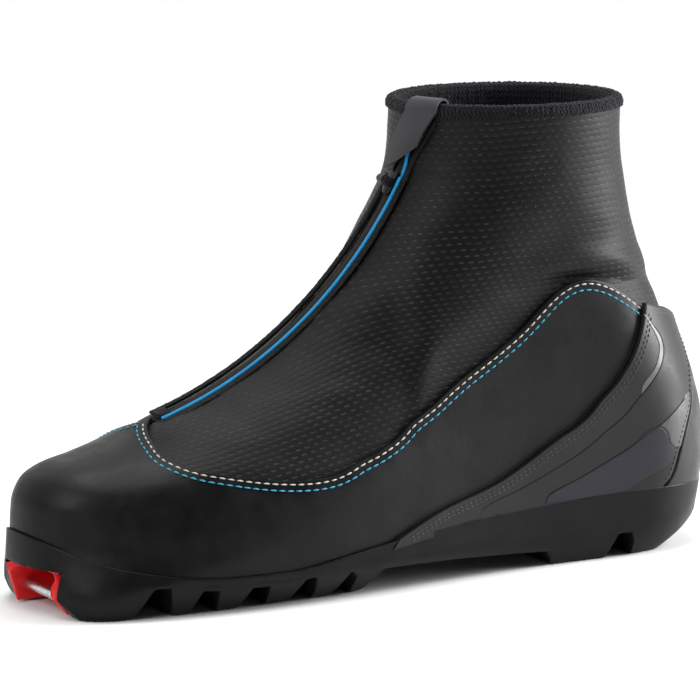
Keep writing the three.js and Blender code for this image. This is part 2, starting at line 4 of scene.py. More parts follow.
import bpy
import numpy as np
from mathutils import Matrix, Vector


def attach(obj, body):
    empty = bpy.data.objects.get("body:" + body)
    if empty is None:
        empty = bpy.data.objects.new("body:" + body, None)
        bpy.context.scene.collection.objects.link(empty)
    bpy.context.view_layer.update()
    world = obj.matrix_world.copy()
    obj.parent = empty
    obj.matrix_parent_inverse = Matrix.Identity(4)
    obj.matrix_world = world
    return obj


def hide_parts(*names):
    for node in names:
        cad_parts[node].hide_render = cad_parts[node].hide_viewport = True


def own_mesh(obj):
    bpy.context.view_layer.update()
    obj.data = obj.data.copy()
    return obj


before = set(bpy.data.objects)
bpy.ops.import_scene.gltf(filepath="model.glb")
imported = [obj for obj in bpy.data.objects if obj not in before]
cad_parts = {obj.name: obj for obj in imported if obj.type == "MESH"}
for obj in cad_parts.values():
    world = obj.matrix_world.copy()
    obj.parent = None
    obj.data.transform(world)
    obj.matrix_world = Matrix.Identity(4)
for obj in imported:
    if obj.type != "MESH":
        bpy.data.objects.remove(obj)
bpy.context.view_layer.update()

MM = 0.001

# ------------------------------------------------------------------ sizes of the design, in mm
ZIP_RADIUS = 163.0
ZIP_TILT = 0.06
ZIP_SIDE = 3.0            # the zip plane's y at a height of 60
HALF_GAP = 3.4            # half the opening between the fabric edges at the zip
THROAT = (-89.6, 61.8)
ZIP_TOP = (12.5, 147.1)
RIM = 170.0               # top of the collar fabric
VAMP_OUT = 1.9
COUNTER_IN = 2.2
COUNTER_OUT = 4.2
SOLE_OUT = 4.5
SOLE_CUP = 2.2
BAR_X = -135.5
BAR_Z = 7.0
POCKET_Y = -7.0


# ------------------------------------------------------------------ small maths
def ease(a, b, v):
    t = np.clip((np.asarray(v, float) - a) / (b - a), 0, 1)
    return t * t * (3 - 2 * t)


def curve(points):
    """Smooth value(key) through (key, value) pairs, with no overshoot between them."""
    k = np.array([p[0] for p in points], float)
    v = np.array([p[1] for p in points], float)
    d = np.diff(v) / np.diff(k)
    m = np.concatenate([[d[0]], np.zeros(len(k) - 2), [d[-1]]])
    same = d[:-1] * d[1:] > 0
    m[1:-1][same] = (2 * d[:-1] * d[1:])[same] / (d[:-1] + d[1:])[same]

    def at(q):
        q = np.clip(np.asarray(q, float), k[0], k[-1])
        i = np.clip(np.searchsorted(k, q) - 1, 0, len(k) - 2)
        h = k[i + 1] - k[i]
        t = (q - k[i]) / h
        a = (1 + 2 * t) * (1 - t) ** 2 * v[i] + t * (1 - t) ** 2 * h * m[i]
        return a + t * t * (3 - 2 * t) * v[i + 1] + t * t * (t - 1) * h * m[i + 1]

    return at


def noise(p, seed=0, octaves=3):
    """Smooth value noise of 3-D points, the same on every run."""
    total = np.zeros(len(p))
    size = 1.0
    for o in range(octaves):
        q = p * 2 ** o + 17.3 * seed + 31.7 * o
        i = np.floor(q).astype(np.int64)
        f = q - i
        f = f * f * (3 - 2 * f)
        acc = np.zeros(len(p))
        for dx in (0, 1):
            for dy in (0, 1):
                for dz in (0, 1):
                    n = (i[:, 0] + dx) * 374761393 + (i[:, 1] + dy) * 668265263 + (i[:, 2] + dz) * 974634777
                    n = (n ^ (n >> 13)) * 1274126177
                    n = ((n ^ (n >> 16)) & 0xFFFF) / 65535.0
                    w = (f[:, 0] if dx else 1 - f[:, 0]) * (f[:, 1] if dy else 1 - f[:, 1])
                    acc += n * w * (f[:, 2] if dz else 1 - f[:, 2])
        total += size * (acc - 0.5)
        size *= 0.5
    return total


# ------------------------------------------------------------------ zip circle
def zip_circle():
    mid = ((THROAT[0] + ZIP_TOP[0]) / 2, (THROAT[1] + ZIP_TOP[1]) / 2)
    run = (ZIP_TOP[0] - THROAT[0], ZIP_TOP[1] - THROAT[1])
    half = math.hypot(*run) / 2
    rise = math.sqrt(ZIP_RADIUS ** 2 - half ** 2)
    return mid[0] - run[1] / (2 * half) * rise, mid[1] + run[0] / (2 * half) * rise


ZIP_C = zip_circle()
ZIP_LOW = math.atan2(THROAT[1] - ZIP_C[1], THROAT[0] - ZIP_C[0])
ZIP_HIGH = math.atan2(ZIP_TOP[1] - ZIP_C[1], ZIP_TOP[0] - ZIP_C[0])
SLIDER_HOME = ZIP_HIGH - math.radians(1.6)
ZIP_AXIS = np.array([0, 1, ZIP_TILT]) / math.hypot(1, ZIP_TILT)
ZIP_UP = np.cross([1.0, 0, 0], ZIP_AXIS)


def zip_y(z):
    return ZIP_SIDE - ZIP_TILT * (z - 60)


ZIP_HUB = np.array([ZIP_C[0], zip_y(ZIP_C[1]), ZIP_C[1]])


def zip_point(a, across, out):
    """Point at zip angle a, offset across (to the medial side) and outwards."""
    a, across, out = np.broadcast_arrays(np.asarray(a, float), across, out)
    r = ZIP_RADIUS - out
    p = ZIP_HUB + (r * np.cos(a))[..., None] * np.array([1.0, 0, 0])
    return p + (r * np.sin(a))[..., None] * ZIP_UP + across[..., None] * ZIP_AXIS


# ------------------------------------------------------------------ surface of the upper
arc = np.linspace(ZIP_LOW, ZIP_HIGH, 9)
front_at = curve(
    [(0, -141.5), (26, -141), (37, -140.5), (44.5, -137), (49, -129), (52.2, -115), (56.3, -101)]
    + [(ZIP_C[1] + ZIP_RADIUS * math.sin(a), ZIP_C[0] + ZIP_RADIUS * math.cos(a)) for a in arc]
    + [(158, 14.8), (175, 16)]
)
back_at = curve([
    (0, 133), (12, 135), (22, 137), (34, 138.5), (48, 138), (62, 134.6), (76, 129.4), (90, 124), (105, 117.8),
    (120, 112.3), (135, 107.8), (150, 105), (162, 104), (175, 104),
])
ridge_z = np.linspace(26, 158, 2000)
ridge_x = front_at(ridge_z)
sole_half = curve([
    (-143, 40), (-120, 42), (-100, 44.5), (-75, 47), (-50, 47.3), (-25, 45.3),
    (0, 41.5), (25, 38), (50, 36), (80, 35.5), (110, 36), (143, 35),
])
ankle_half = curve([(0, 38), (60, 38), (90, 36.5), (110, 36.5), (140, 38.5), (175, 40.3)])
front_depth = curve([
    (0, 20), (7, 24), (14, 36), (26, 54), (40, 60), (60, 50), (90, 50), (130, 52), (175, 45.5),
])
top_depth = curve([(-143, 30), (-110, 27), (-80, 34), (-40, 50), (0, 60)])
back_depth = curve([(0, 36), (40, 37), (80, 42), (120, 46), (175, 45.5)])


def ridge_at(x):
    """Height of the toe and instep ridge over x; far above all that is behind the collar's front."""
    z = np.interp(x, ridge_x, ridge_z)
    return np.where(x >= ridge_x[-1] - 0.4, 1e6, z)


def rounded(q):
    return (1 - (1 - np.clip(q, 1e-9, 1)) ** 2.1) ** (1 / 2.1)


def half_width(x, z):
    front = np.maximum(x - front_at(z), 1e-6)
    under = np.maximum(ridge_at(x) - z, 1e-6)
    q = 1 / np.hypot(front_depth(z) / front, top_depth(x) / under * (1 - ease(-6, 14, x)))
    qb = (back_at(z) - x) / back_depth(z)
    k = ease(40, 105, z)
    w = sole_half(x) * (1 - k) + ankle_half(z) * k
    return w * rounded(q) * rounded(qb)


def toe_swing(x):
    return 3 * ease(-60, -143, x)


def medial_share(x):
    return 1 - 0.36 * ease(-50, -143, x)


def form(t, z):
    """Point of the form at ring angle t (0 front ridge, pi back, lateral positive) and height z."""
    t, z = np.broadcast_arrays(np.asarray(t, float), np.asarray(z, float))
    a = front_at(z)
    x = a + (back_at(z) - a) * (1 - np.cos(t)) / 2
    w = half_width(x, z)
    reach = np.where(np.sin(t) > 0, -w, w * medial_share(x))
    return np.stack([x, toe_swing(x) + reach, z], -1)


def form_normal(t, z):
    t, z = np.broadcast_arrays(np.asarray(t, float), np.asarray(z, float))
    e = 0.02
    flat = np.abs(np.sin(t)) < e
    tt = np.where(flat, t + e, t)
    along = form(tt + e / 2, z) - form(tt - e / 2, z)
    up = form(tt, z + 0.25) - form(tt, z - 0.25)
    n = np.cross(along, up)
    n /= np.linalg.norm(n, axis=-1, keepdims=True)
    side = np.abs(np.sin(t)) / e
    n[..., 1] *= np.where(flat, side, 1)
    return n / np.linalg.norm(n, axis=-1, keepdims=True)


def skin(t, z, d):
    """Point at offset d outside the form."""
    return form(t, z) + form_normal(t, z) * np.asarray(d, float)[..., None]


def side(x, z):
    """(ring angle, height) of a point given in side view."""
    a = front_at(z)
    c = 1 - 2 * (x - a) / (back_at(z) - a)
    return float(np.arccos(np.clip(c, -1, 1))), float(z)


def plan(x, y):
    """(ring angle, height) of a point on the forefoot's top, given in plan for the lateral side."""
    low, high = 30.0, float(ridge_at(np.array(x)))
    for _ in range(40):
        mid = (low + high) / 2
        if half_width(np.array(x), np.array(mid)) > abs(y):
            low = mid
        else:
            high = mid
    return side(x, low)


def track(points, n, d=0.0):
    """n points (ring angle, height), evenly spaced along a smooth line through the given ones."""
    q = np.array(points, float)
    for _ in range(2):
        p = skin(q[:, 0], q[:, 1], np.full(len(q), d))
        s = np.concatenate([[0], np.cumsum(np.linalg.norm(np.diff(p, axis=0), axis=1))])
        fine = np.linspace(0, s[-1], max(4 * n, 200))
        dense = np.stack([hermite(s, q[:, i], fine) for i in (0, 1)], 1)
        q = dense
    p = skin(q[:, 0], q[:, 1], np.full(len(q), d))
    s = np.concatenate([[0], np.cumsum(np.linalg.norm(np.diff(p, axis=0), axis=1))])
    even = np.linspace(0, s[-1], n)
    return np.stack([np.interp(even, s, q[:, i]) for i in (0, 1)], 1)


def hermite(s, v, at):
    """Cubic through (s, v) with slopes from the neighbours on both sides."""
    m = np.gradient(v, s)
    i = np.clip(np.searchsorted(s, at) - 1, 0, len(s) - 2)
    h = s[i + 1] - s[i]
    t = (at - s[i]) / h
    a = (1 + 2 * t) * (1 - t) ** 2 * v[i] + t * (1 - t) ** 2 * h * m[i]
    return a + t * t * (3 - 2 * t) * v[i + 1] + t * t * (t - 1) * h * m[i + 1]


# ------------------------------------------------------------------ mesh helpers
def make(name, verts, faces, material, body, uv=None, sharp=40):
    """A piece from points in mm and faces; uv holds one pair per point."""
    me = bpy.data.meshes.new(name)
    me.from_pydata([tuple(v) for v in np.asarray(verts) * MM], [], [tuple(int(i) for i in f) for f in faces])
    me.validate()
    me.polygons.foreach_set("use_smooth", [True] * len(me.polygons))
    if uv is not None:
        layer = me.uv_layers.new(name="UVMap")
        index = np.zeros(len(me.loops), int)
        me.loops.foreach_get("vertex_index", index)
        layer.data.foreach_set("uv", np.asarray(uv, float)[index].ravel())
    me.set_sharp_from_angle(angle=math.radians(sharp))
    ob = bpy.data.objects.new(name, me)
    bpy.context.scene.collection.objects.link(ob)
    me.materials.append(material)
    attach(ob, body)
    return ob


def grid_faces(rows, cols, start=0, closed=False, flip=False):
    faces = []
    last = cols if closed else cols - 1
    for r in range(rows - 1):
        for c in range(last):
            a = start + r * cols + c
            b = start + r * cols + (c + 1) % cols
            f = (a, b, b + cols, a + cols)
            faces.append(f[::-1] if flip else f)
    return faces


def soften(grid, drop, radius, ends=(True, True)):
    """Add rows next to the first and last row, where the outside rounds over."""
    steps = [(0.0, 1.0), (0.12, 0.53), (0.35, 0.24), (1.0, 0.0)]
    for first in (True, False):
        if not ends[0 if first else 1]:
            continue
        g = grid if first else grid[::-1]
        dr = drop if first else drop[::-1]
        p = skin(g[:2, :, 0], g[:2, :, 1], np.zeros(g[:2].shape[:2]))
        reach = np.linalg.norm(p[1] - p[0], axis=1)[:, None]
        rows = []
        drops = []
        for s, fall in steps:
            k = np.minimum(s * radius / np.maximum(reach, 1e-6), 0.6)
            rows.append(g[0] + (g[1] - g[0]) * k)
            drops.append(np.maximum(dr[0], radius * fall))
        g = np.concatenate([np.array(rows), g[1:]])
        dr = np.concatenate([np.array(drops), dr[1:]])
        grid = g if first else g[::-1]
        drop = dr if first else dr[::-1]
    return grid, drop


def layer(name, grid, outer, inner, material, body="boot", edge=0.5, ends=(True, True, True, True),
          closed=False, mirror=False, relief=None, uv=None):
    """Closed sheet between two offsets of the form over a grid of (ring angle, height).

    ends says which of the first row, last row, first column and last column round over.
    """
    drop = np.zeros(grid.shape[:2])
    grid, drop = soften(grid, drop, edge, ends[:2])
    if not closed:
        g, dr = soften(grid.transpose(1, 0, 2), drop.T, edge, ends[2:])
        grid, drop = g.transpose(1, 0, 2), dr.T
    rows, cols = grid.shape[:2]
    t, z = grid[..., 0], grid[..., 1]
    if mirror:
        t = -t
    lift = np.zeros_like(t)
    if relief is not None:
        base = form(t, z)
        lift = relief(base.reshape(-1, 3)).reshape(t.shape)
    out = skin(t, z, outer + lift - drop)
    ins = skin(t, z, np.full_like(t, inner))
    verts = np.concatenate([out.reshape(-1, 3), ins.reshape(-1, 3)])
    n = rows * cols
    a = np.cross(out[rows // 2, cols // 2 + 1] - out[rows // 2, cols // 2],
                 out[rows // 2 + 1, cols // 2] - out[rows // 2, cols // 2])
    flip = np.dot(a, form_normal(t[rows // 2, cols // 2], z[rows // 2, cols // 2])) < 0
    faces = grid_faces(rows, cols, 0, closed, flip) + grid_faces(rows, cols, n, closed, not flip)

    def wall(loop, turn):
        for i, j in zip(loop[:-1], loop[1:]):
            f = (i, j, j + n, i + n)
            faces.append(f[::-1] if turn else f)

    top = [(rows - 1) * cols + c for c in range(cols)]
    low = list(range(cols))
    if closed:
        wall(low + low[:1], not flip)
        wall(top + top[:1], flip)
    else:
        wall(low, not flip)
        wall(top, flip)
        wall([r * cols for r in range(rows)], flip)
        wall([r * cols + cols - 1 for r in range(rows)], not flip)
    if uv is None:
        along = np.linalg.norm(np.diff(out, axis=1), axis=2)
        u = np.concatenate([np.zeros((rows, 1)), np.cumsum(along, axis=1)], 1)
        up = np.linalg.norm(np.diff(out, axis=0), axis=2)
        v = np.concatenate([np.zeros((1, cols)), np.cumsum(up, axis=0)], 0)
    else:
        u, v = uv(t, z, out)
    pair = np.stack([u, v], -1).reshape(-1, 2)
    return make(name, verts, faces, material, body, np.concatenate([pair, pair]) / 10)


def between(low, high, rows, power=1.0):
    """Grid of (ring angle, height) from one track to another."""
    k = (np.linspace(0, 1, rows) ** power)[:, None, None]
    return low[None] * (1 - k) + high[None] * k


def coons(low, high, left, right):
    """Grid of (ring angle, height) inside four tracks."""
    cols, rows = len(low), len(left)
    u = np.linspace(0, 1, cols)[None, :, None]
    v = np.linspace(0, 1, rows)[:, None, None]
    a = low[None] * (1 - v) + high[None] * v
    b = left[:, None] * (1 - u) + right[:, None] * u
    c = low[0] * (1 - u) * (1 - v) + low[-1] * u * (1 - v) + high[0] * (1 - u) * v + high[-1] * u * v
    return a + b - c


def sweep(name, path, normal, section, material, body, closed_path=False, caps=True, sharp=40):
    """Tube or bar: a closed section of (across, out) pairs carried along a path."""
    path = np.asarray(path, float)
    n = len(path)
    tangent = np.gradient(path, axis=0)
    if closed_path:
        tangent = np.roll(path, -1, 0) - np.roll(path, 1, 0)
    tangent /= np.linalg.norm(tangent, axis=1)[:, None]
    normal = normal - (normal * tangent).sum(1)[:, None] * tangent
    normal /= np.linalg.norm(normal, axis=1)[:, None]
    across = np.cross(tangent, normal)
    sec = np.asarray(section, float)
    if sec.ndim == 2:
        sec = np.repeat(sec[None], n, 0)
    m = sec.shape[1]
    verts = path[:, None] + sec[..., :1] * across[:, None] + sec[..., 1:] * normal[:, None]
    faces = []
    for r in range(n if closed_path else n - 1):
        for c in range(m):
            a, b = r * m + c, r * m + (c + 1) % m
            k = ((r + 1) % n) * m
            faces.append((a, b, k + (c + 1) % m, k + c))
    if caps and not closed_path:
        faces.append(tuple(range(m))[::-1])
        faces.append(tuple((n - 1) * m + c for c in range(m)))
    run = np.concatenate([[0], np.cumsum(np.linalg.norm(np.diff(path, axis=0), axis=1))])
    uv = np.stack([np.repeat(run, m), np.tile(np.arange(m) / m * 5, n)], 1) / 10
    return make(name, verts.reshape(-1, 3), faces, material, body, uv, sharp)


def circle(radius, sides=12, squash=1.0):
    a = np.linspace(0, 2 * math.pi, sides, endpoint=False)
    return np.stack([radius * np.cos(a), radius * squash * np.sin(a)], 1)


def stitches(name, path, normal, pitch, length, thick, material, body="boot", sink=0.35, skew=0.0):
    """A row of short thread loops lying along a path, each one a small capsule."""
    step = np.linalg.norm(np.diff(path, axis=0), axis=1)
    s = np.concatenate([[0], np.cumsum(step)])
    pitches = pitch if callable(pitch) else (lambda f: pitch)
    at = 0.8
    verts = []
    faces = []
    profile = np.array([0.0, 0.55, 0.9, 1.0, 0.9, 0.55, 0.0])
    bow = np.array([-1.0, -0.35, 0.25, 0.5, 0.25, -0.35, -1.0])
    sides = 8
    ring = np.linspace(0, 2 * math.pi, sides, endpoint=False)
    while at < s[-1] - 1.5:
        gap = pitches(at / s[-1])
        long = length * gap
        centre = at + gap / 2
        pts = [np.array([np.interp(centre + k * long / 2, s, path[:, i]) for i in range(3)])
               for k in np.linspace(-1, 1, len(profile))]
        nrm = np.array([np.interp(centre, s, normal[:, i]) for i in range(3)])
        nrm /= np.linalg.norm(nrm)
        along = pts[-1] - pts[0]
        along /= np.linalg.norm(along)
        cross = np.cross(along, nrm)
        start = len(verts)
        for k, (p, w, b) in enumerate(zip(pts, profile, bow)):
            c = p + nrm * (thick * (b * 0.5 + 0.5 - sink)) + cross * skew * (k - 3) / 3
            r = thick * max(w, 0.15)
            for a in ring:
                verts.append(c + cross * r * math.cos(a) + nrm * r * math.sin(a))
        for k in range(len(profile) - 1):
            for c in range(sides):
                a = start + k * sides + c
                b = start + k * sides + (c + 1) % sides
                faces.append((a, b, b + sides, a + sides))
        faces.append(tuple(start + c for c in range(sides))[::-1])
        faces.append(tuple(start + (len(profile) - 1) * sides + c for c in range(sides)))
        at += gap
    return make(name, np.array(verts), faces, material, body, sharp=70)


def inset(line, d, distance):
    """3-D line at a distance beside a track of the form, on the surface at offset d, and its normals."""
    p = skin(line[:, 0], line[:, 1], np.full(len(line), d))
    n = form_normal(line[:, 0], line[:, 1])
    tangent = np.gradient(p, axis=0)
    tangent /= np.linalg.norm(tangent, axis=1)[:, None]
    across = np.cross(n, tangent)
    return p + across * distance, n




# ------------------------------------------------------------------ materials
class Paint:
    """A procedural material on one Principled shader, built from texture and maths nodes."""

    def __init__(self, name, colour, rough, metal=0.0, specular=0.5):
        self.mat = bpy.data.materials.new(name)
        self.mat.use_nodes = True
        self.tree = self.mat.node_tree
        self.shader = self.tree.nodes["Principled BSDF"]
        self.shader.inputs["Base Color"].default_value = (*colour, 1)
        self.shader.inputs["Roughness"].default_value = rough
        self.shader.inputs["Metallic"].default_value = metal
        self.shader.inputs["Specular IOR Level"].default_value = specular
        self.coords = self.tree.nodes.new("ShaderNodeTexCoord")
        self.last_bump = None

    def node(self, kind, settings=None, **inputs):
        n = self.tree.nodes.new(kind)
        for key, value in (settings or {}).items():
            setattr(n, key, value)
        for key, value in inputs.items():
            self.put(n.inputs[key.replace("_", " ")], value)
        return n

    def put(self, socket, value):
        if hasattr(value, "is_output"):
            self.tree.links.new(value, socket)
        else:
            socket.default_value = value

    def place(self, scale, source="Object", turn=(0, 0, 0)):
        n = self.tree.nodes.new("ShaderNodeMapping")
        self.tree.links.new(self.coords.outputs[source], n.inputs["Vector"])
        n.inputs["Scale"].default_value = scale if isinstance(scale, tuple) else (scale,) * 3
        n.inputs["Rotation"].default_value = turn
        return n.outputs["Vector"]

    def noise(self, size, detail=4.0, rough=0.55, source="Object", stretch=(1, 1, 1)):
        """Noise with features about size mm across; UV runs in cm, object space in metres."""
        k = (1000 if source == "Object" else 10) / size
        n = self.node("ShaderNodeTexNoise", Vector=self.place(tuple(k * s for s in stretch), source),
                      Scale=1.0, Detail=detail, Roughness=rough)
        return n.outputs["Fac"]

    def cells(self, size, source="Object", feature="F1"):
        k = (1000 if source == "Object" else 10) / size
        n = self.node("ShaderNodeTexVoronoi", {"feature": feature}, Vector=self.place(k, source), Scale=1.0)
        return n.outputs["Distance"]

    def sum(self, op, a, b=0.0, c=None):
        n = self.tree.nodes.new("ShaderNodeMath")
        n.operation = op
        self.put(n.inputs[0], a)
        self.put(n.inputs[1], b)
        if c is not None:
            self.put(n.inputs[2], c)
        return n.outputs[0]

    def span(self, value, low, high, to_low=0.0, to_high=1.0, smooth=True):
        n = self.tree.nodes.new("ShaderNodeMapRange")
        n.interpolation_type = "SMOOTHSTEP" if smooth else "LINEAR"
        for i, v in enumerate((value, low, high, to_low, to_high)):
            self.put(n.inputs[i], v)
        return n.outputs[0]

    def colours(self, factor, a, b):
        n = self.tree.nodes.new("ShaderNodeMix")
        n.data_type = "RGBA"
        self.put(n.inputs[0], factor)
        for i, v in ((6, a), (7, b)):
            self.put(n.inputs[i], v if hasattr(v, "is_output") else (*v, 1))
        return n.outputs[2]

    def colour(self, value):
        self.tree.links.new(value, self.shader.inputs["Base Color"])

    def rough(self, value):
        self.tree.links.new(value, self.shader.inputs["Roughness"])

    def bump(self, height, depth):
        """Bump whose full height is depth mm; several stack up."""
        n = self.node("ShaderNodeBump", Height=height, Strength=1.0, Distance=depth * MM)
        if self.last_bump is not None:
            self.tree.links.new(self.last_bump, n.inputs["Normal"])
        self.last_bump = n.outputs["Normal"]
        self.tree.links.new(self.last_bump, self.shader.inputs["Normal"])

    def uv(self):
        n = self.tree.nodes.new("ShaderNodeSeparateXYZ")
        self.tree.links.new(self.place(10.0, "UV"), n.inputs[0])
        return n.outputs[0], n.outputs[1]


def grainy(name, dark, light, rough, grain, depth, metal=0.0, specular=0.25, spread=0.12, coat=0.0):
    """Solid surface with fine grain, faint cloudy tone and uneven gloss."""
    p = Paint(name, dark, rough, metal, specular)
    cloud = p.noise(9, 3)
    fine = p.noise(grain, 5)
    p.colour(p.colours(p.span(p.sum("MULTIPLY_ADD", fine, 0.4, p.sum("MULTIPLY", cloud, 0.6)), 0.3, 0.7), dark, light))
    p.rough(p.span(cloud, 0.3, 0.7, rough - spread / 2, rough + spread / 2))
    p.bump(p.cells(grain * 1.7), depth)
    p.bump(fine, depth * 0.6)
    p.shader.inputs["Coat Weight"].default_value = coat
    p.shader.inputs["Coat Roughness"].default_value = 0.3
    return p


def thread(name, colour, shade):
    p = Paint(name, colour, 0.62, 0, 0.35)
    fibre = p.noise(0.22, 3, 0.6)
    p.colour(p.colours(p.span(fibre, 0.35, 0.65), shade, colour))
    p.bump(fibre, 0.06)
    p.shader.inputs["Sheen Weight"].default_value = 0.3
    return p.mat


def woven(name, dark, light, pitch, depth, rough=0.85, sheen=0.3):
    """Plain woven tape on UV coordinates."""
    p = Paint(name, dark, rough, 0, 0.15)
    u, v = p.uv()
    a = p.sum("SINE", p.sum("MULTIPLY", u, 2 * math.pi / pitch))
    b = p.sum("SINE", p.sum("MULTIPLY", v, 2 * math.pi / pitch))
    weave = p.sum("MULTIPLY", a, b)
    fibre = p.noise(0.25, 4, 0.65)
    mix = p.span(p.sum("ADD", p.sum("MULTIPLY", weave, 0.3), fibre), 0.2, 0.9)
    p.colour(p.colours(mix, dark, light))
    p.bump(weave, depth)
    p.bump(fibre, depth * 0.5)
    p.shader.inputs["Sheen Weight"].default_value = sheen
    return p


leather = grainy("vamp_leather", (0.0036, 0.0038, 0.0043), (0.006, 0.0063, 0.007), 0.4, 0.5, 0.02, specular=0.17)
fold_noise = leather.noise(3.2, 2, 0.5)
leather.bump(fold_noise, 0.06)
counter_paint = grainy("counter_shell", (0.0078, 0.0081, 0.009), (0.0105, 0.0108, 0.012), 0.42, 0.35, 0.015)
panel_paint = grainy("counter_panel", (0.0125, 0.0135, 0.019), (0.0155, 0.0165, 0.0235), 0.36, 0.3, 0.012)
facet_paint = grainy("counter_facet", (0.045, 0.046, 0.048), (0.07, 0.071, 0.073), 0.3, 0.3, 0.012, coat=0.2)
brown_paint = grainy("counter_brown", (0.0075, 0.0068, 0.0058), (0.0098, 0.009, 0.0078), 0.4, 0.3, 0.012)
band_paint = grainy("reflective_band", (0.07, 0.072, 0.075), (0.11, 0.112, 0.115), 0.36, 0.25, 0.01, metal=0.3)
backstay_paint = grainy("backstay_shell", (0.0085, 0.009, 0.01), (0.0115, 0.012, 0.0132), 0.4, 0.35, 0.015)
rubber = grainy("sole_rubber", (0.0055, 0.0057, 0.0062), (0.0075, 0.0078, 0.0085), 0.38, 0.3, 0.02, spread=0.16, specular=0.12)
scuff = rubber.noise(1.6, 5, 0.7)
rubber.bump(scuff, 0.03)
red = grainy("red_insert", (0.62, 0.008, 0.012), (0.72, 0.014, 0.016), 0.34, 0.5, 0.02, coat=0.25)
black_paint = grainy("black_trim", (0.0022, 0.0022, 0.0026), (0.0045, 0.0045, 0.005), 0.6, 0.4, 0.05, specular=0.15)
lining_paint = woven("lining_fleece", (0.002, 0.002, 0.003), (0.007, 0.007, 0.009), 2.6, 0.35, 0.95, 0.15)
tongue_paint = woven("tongue_fabric", (0.003, 0.003, 0.004), (0.009, 0.009, 0.011), 1.4, 0.16, 0.92, 0.15)
footbed_paint = woven("footbed_fabric", (0.008, 0.008, 0.01), (0.02, 0.02, 0.024), 1.1, 0.12, 0.95, 0.2)
ribbon_paint = woven("pull_webbing", (0.03, 0.031, 0.033), (0.044, 0.045, 0.048), 0.55, 0.025, 0.6, 0.1)
white_thread = thread("white_thread", (0.66, 0.62, 0.53), (0.42, 0.39, 0.33))
cyan_thread = thread("cyan_thread", (0.006, 0.4, 0.6), (0.003, 0.24, 0.38))
grey_thread = thread("grey_thread", (0.16, 0.155, 0.15), (0.08, 0.078, 0.075))
dark_thread = thread("dark_thread", (0.018, 0.018, 0.02), (0.006, 0.006, 0.007))


def softshell_paint():
    p = Paint("softshell", (0.005, 0.005, 0.005), 0.48, 0, 0.17)
    u, v = p.uv()
    row = p.sum("DIVIDE", v, 2.3)
    shift = p.sum("MULTIPLY", p.sum("MODULO", p.sum("FLOOR", row), 2.0), 0.5)
    along = p.sum("ADD", p.sum("DIVIDE", u, 3.7), shift)
    du = p.sum("MULTIPLY", p.sum("ABSOLUTE", p.sum("SUBTRACT", p.sum("FRACT", along), 0.5)), 3.7)
    dv = p.sum("MULTIPLY", p.sum("ABSOLUTE", p.sum("SUBTRACT", p.sum("FRACT", row), 0.5)), 2.3)
    long_side = p.sum("MAXIMUM", p.sum("SUBTRACT", du, 0.6), 0.0)
    reach = p.sum("SQRT", p.sum("ADD", p.sum("MULTIPLY", long_side, long_side), p.sum("MULTIPLY", dv, dv)))
    dash = p.span(reach, 0.14, 0.42, 1.0, 0.0)
    pillow = p.sum("MULTIPLY", p.sum("COSINE", p.sum("MULTIPLY", p.sum("DIVIDE", v, 2.3), 2 * math.pi)), 0.5)
    tone = p.noise(0.5, 4, 0.6)
    base = p.colours(p.span(tone, 0.3, 0.7), (0.003, 0.0031, 0.0033), (0.006, 0.0061, 0.0063))
    # The dashes get a lighter colour: a painted highlight standing in for light caught on the lower rims of the dented
    # dashes, its strength varied by broad noise.
    patchy = p.noise(14, 3, 0.6)
    painted_dash_highlight = p.sum("MULTIPLY", dash, p.span(patchy, 0.35, 0.65, 0.25, 1.0))
    p.colour(p.colours(painted_dash_highlight, base, (0.03, 0.0295, 0.028)))
    p.rough(p.span(dash, 0.0, 1.0, 0.5, 0.34))
    p.bump(dash, -0.16)
    p.bump(pillow, 0.05)
    p.bump(tone, 0.04)
    return p.mat


def steel_paint(name, colour, rough, across):
    p = Paint(name, colour, rough, 1.0)
    brushed = p.noise(0.25, 4, 0.6, stretch=across)
    p.rough(p.span(brushed, 0.3, 0.7, rough - 0.07, rough + 0.1))
    p.bump(brushed, 0.012)
    worn = p.noise(5, 4, 0.6)
    p.colour(p.colours(p.span(worn, 0.4, 0.65), colour, tuple(c * 0.72 for c in colour)))
    return p.mat


def tape_paint():
    p = Paint("zip_tape", (0.03, 0.028, 0.025), 0.8, 0, 0.2)
    u, v = p.uv()
    rib = p.sum("SINE", p.sum("MULTIPLY", u, 2 * math.pi / 0.62))
    cross = p.sum("SINE", p.sum("MULTIPLY", v, 2 * math.pi / 0.8))
    fibre = p.noise(0.3, 4, 0.6)
    mix = p.span(p.sum("ADD", p.sum("MULTIPLY", p.sum("MULTIPLY", rib, cross), 0.35), fibre), 0.2, 0.85)
    p.colour(p.colours(mix, (0.009, 0.0085, 0.008), (0.042, 0.039, 0.035)))
    p.bump(rib, 0.08)
    p.bump(cross, 0.05)
    return p.mat


def blue_paint():
    p = Paint("blue_piping", (0.008, 0.26, 0.6), 0.5, 0, 0.25)
    u, v = p.uv()
    rib = p.sum("SINE", p.sum("MULTIPLY", u, 2 * math.pi / 0.55))
    fibre = p.noise(0.3, 3, 0.6)
    p.colour(p.colours(p.span(fibre, 0.3, 0.7), (0.004, 0.23, 0.5), (0.008, 0.31, 0.64)))
    p.bump(rib, 0.05)
    p.bump(fibre, 0.03)
    return p.mat


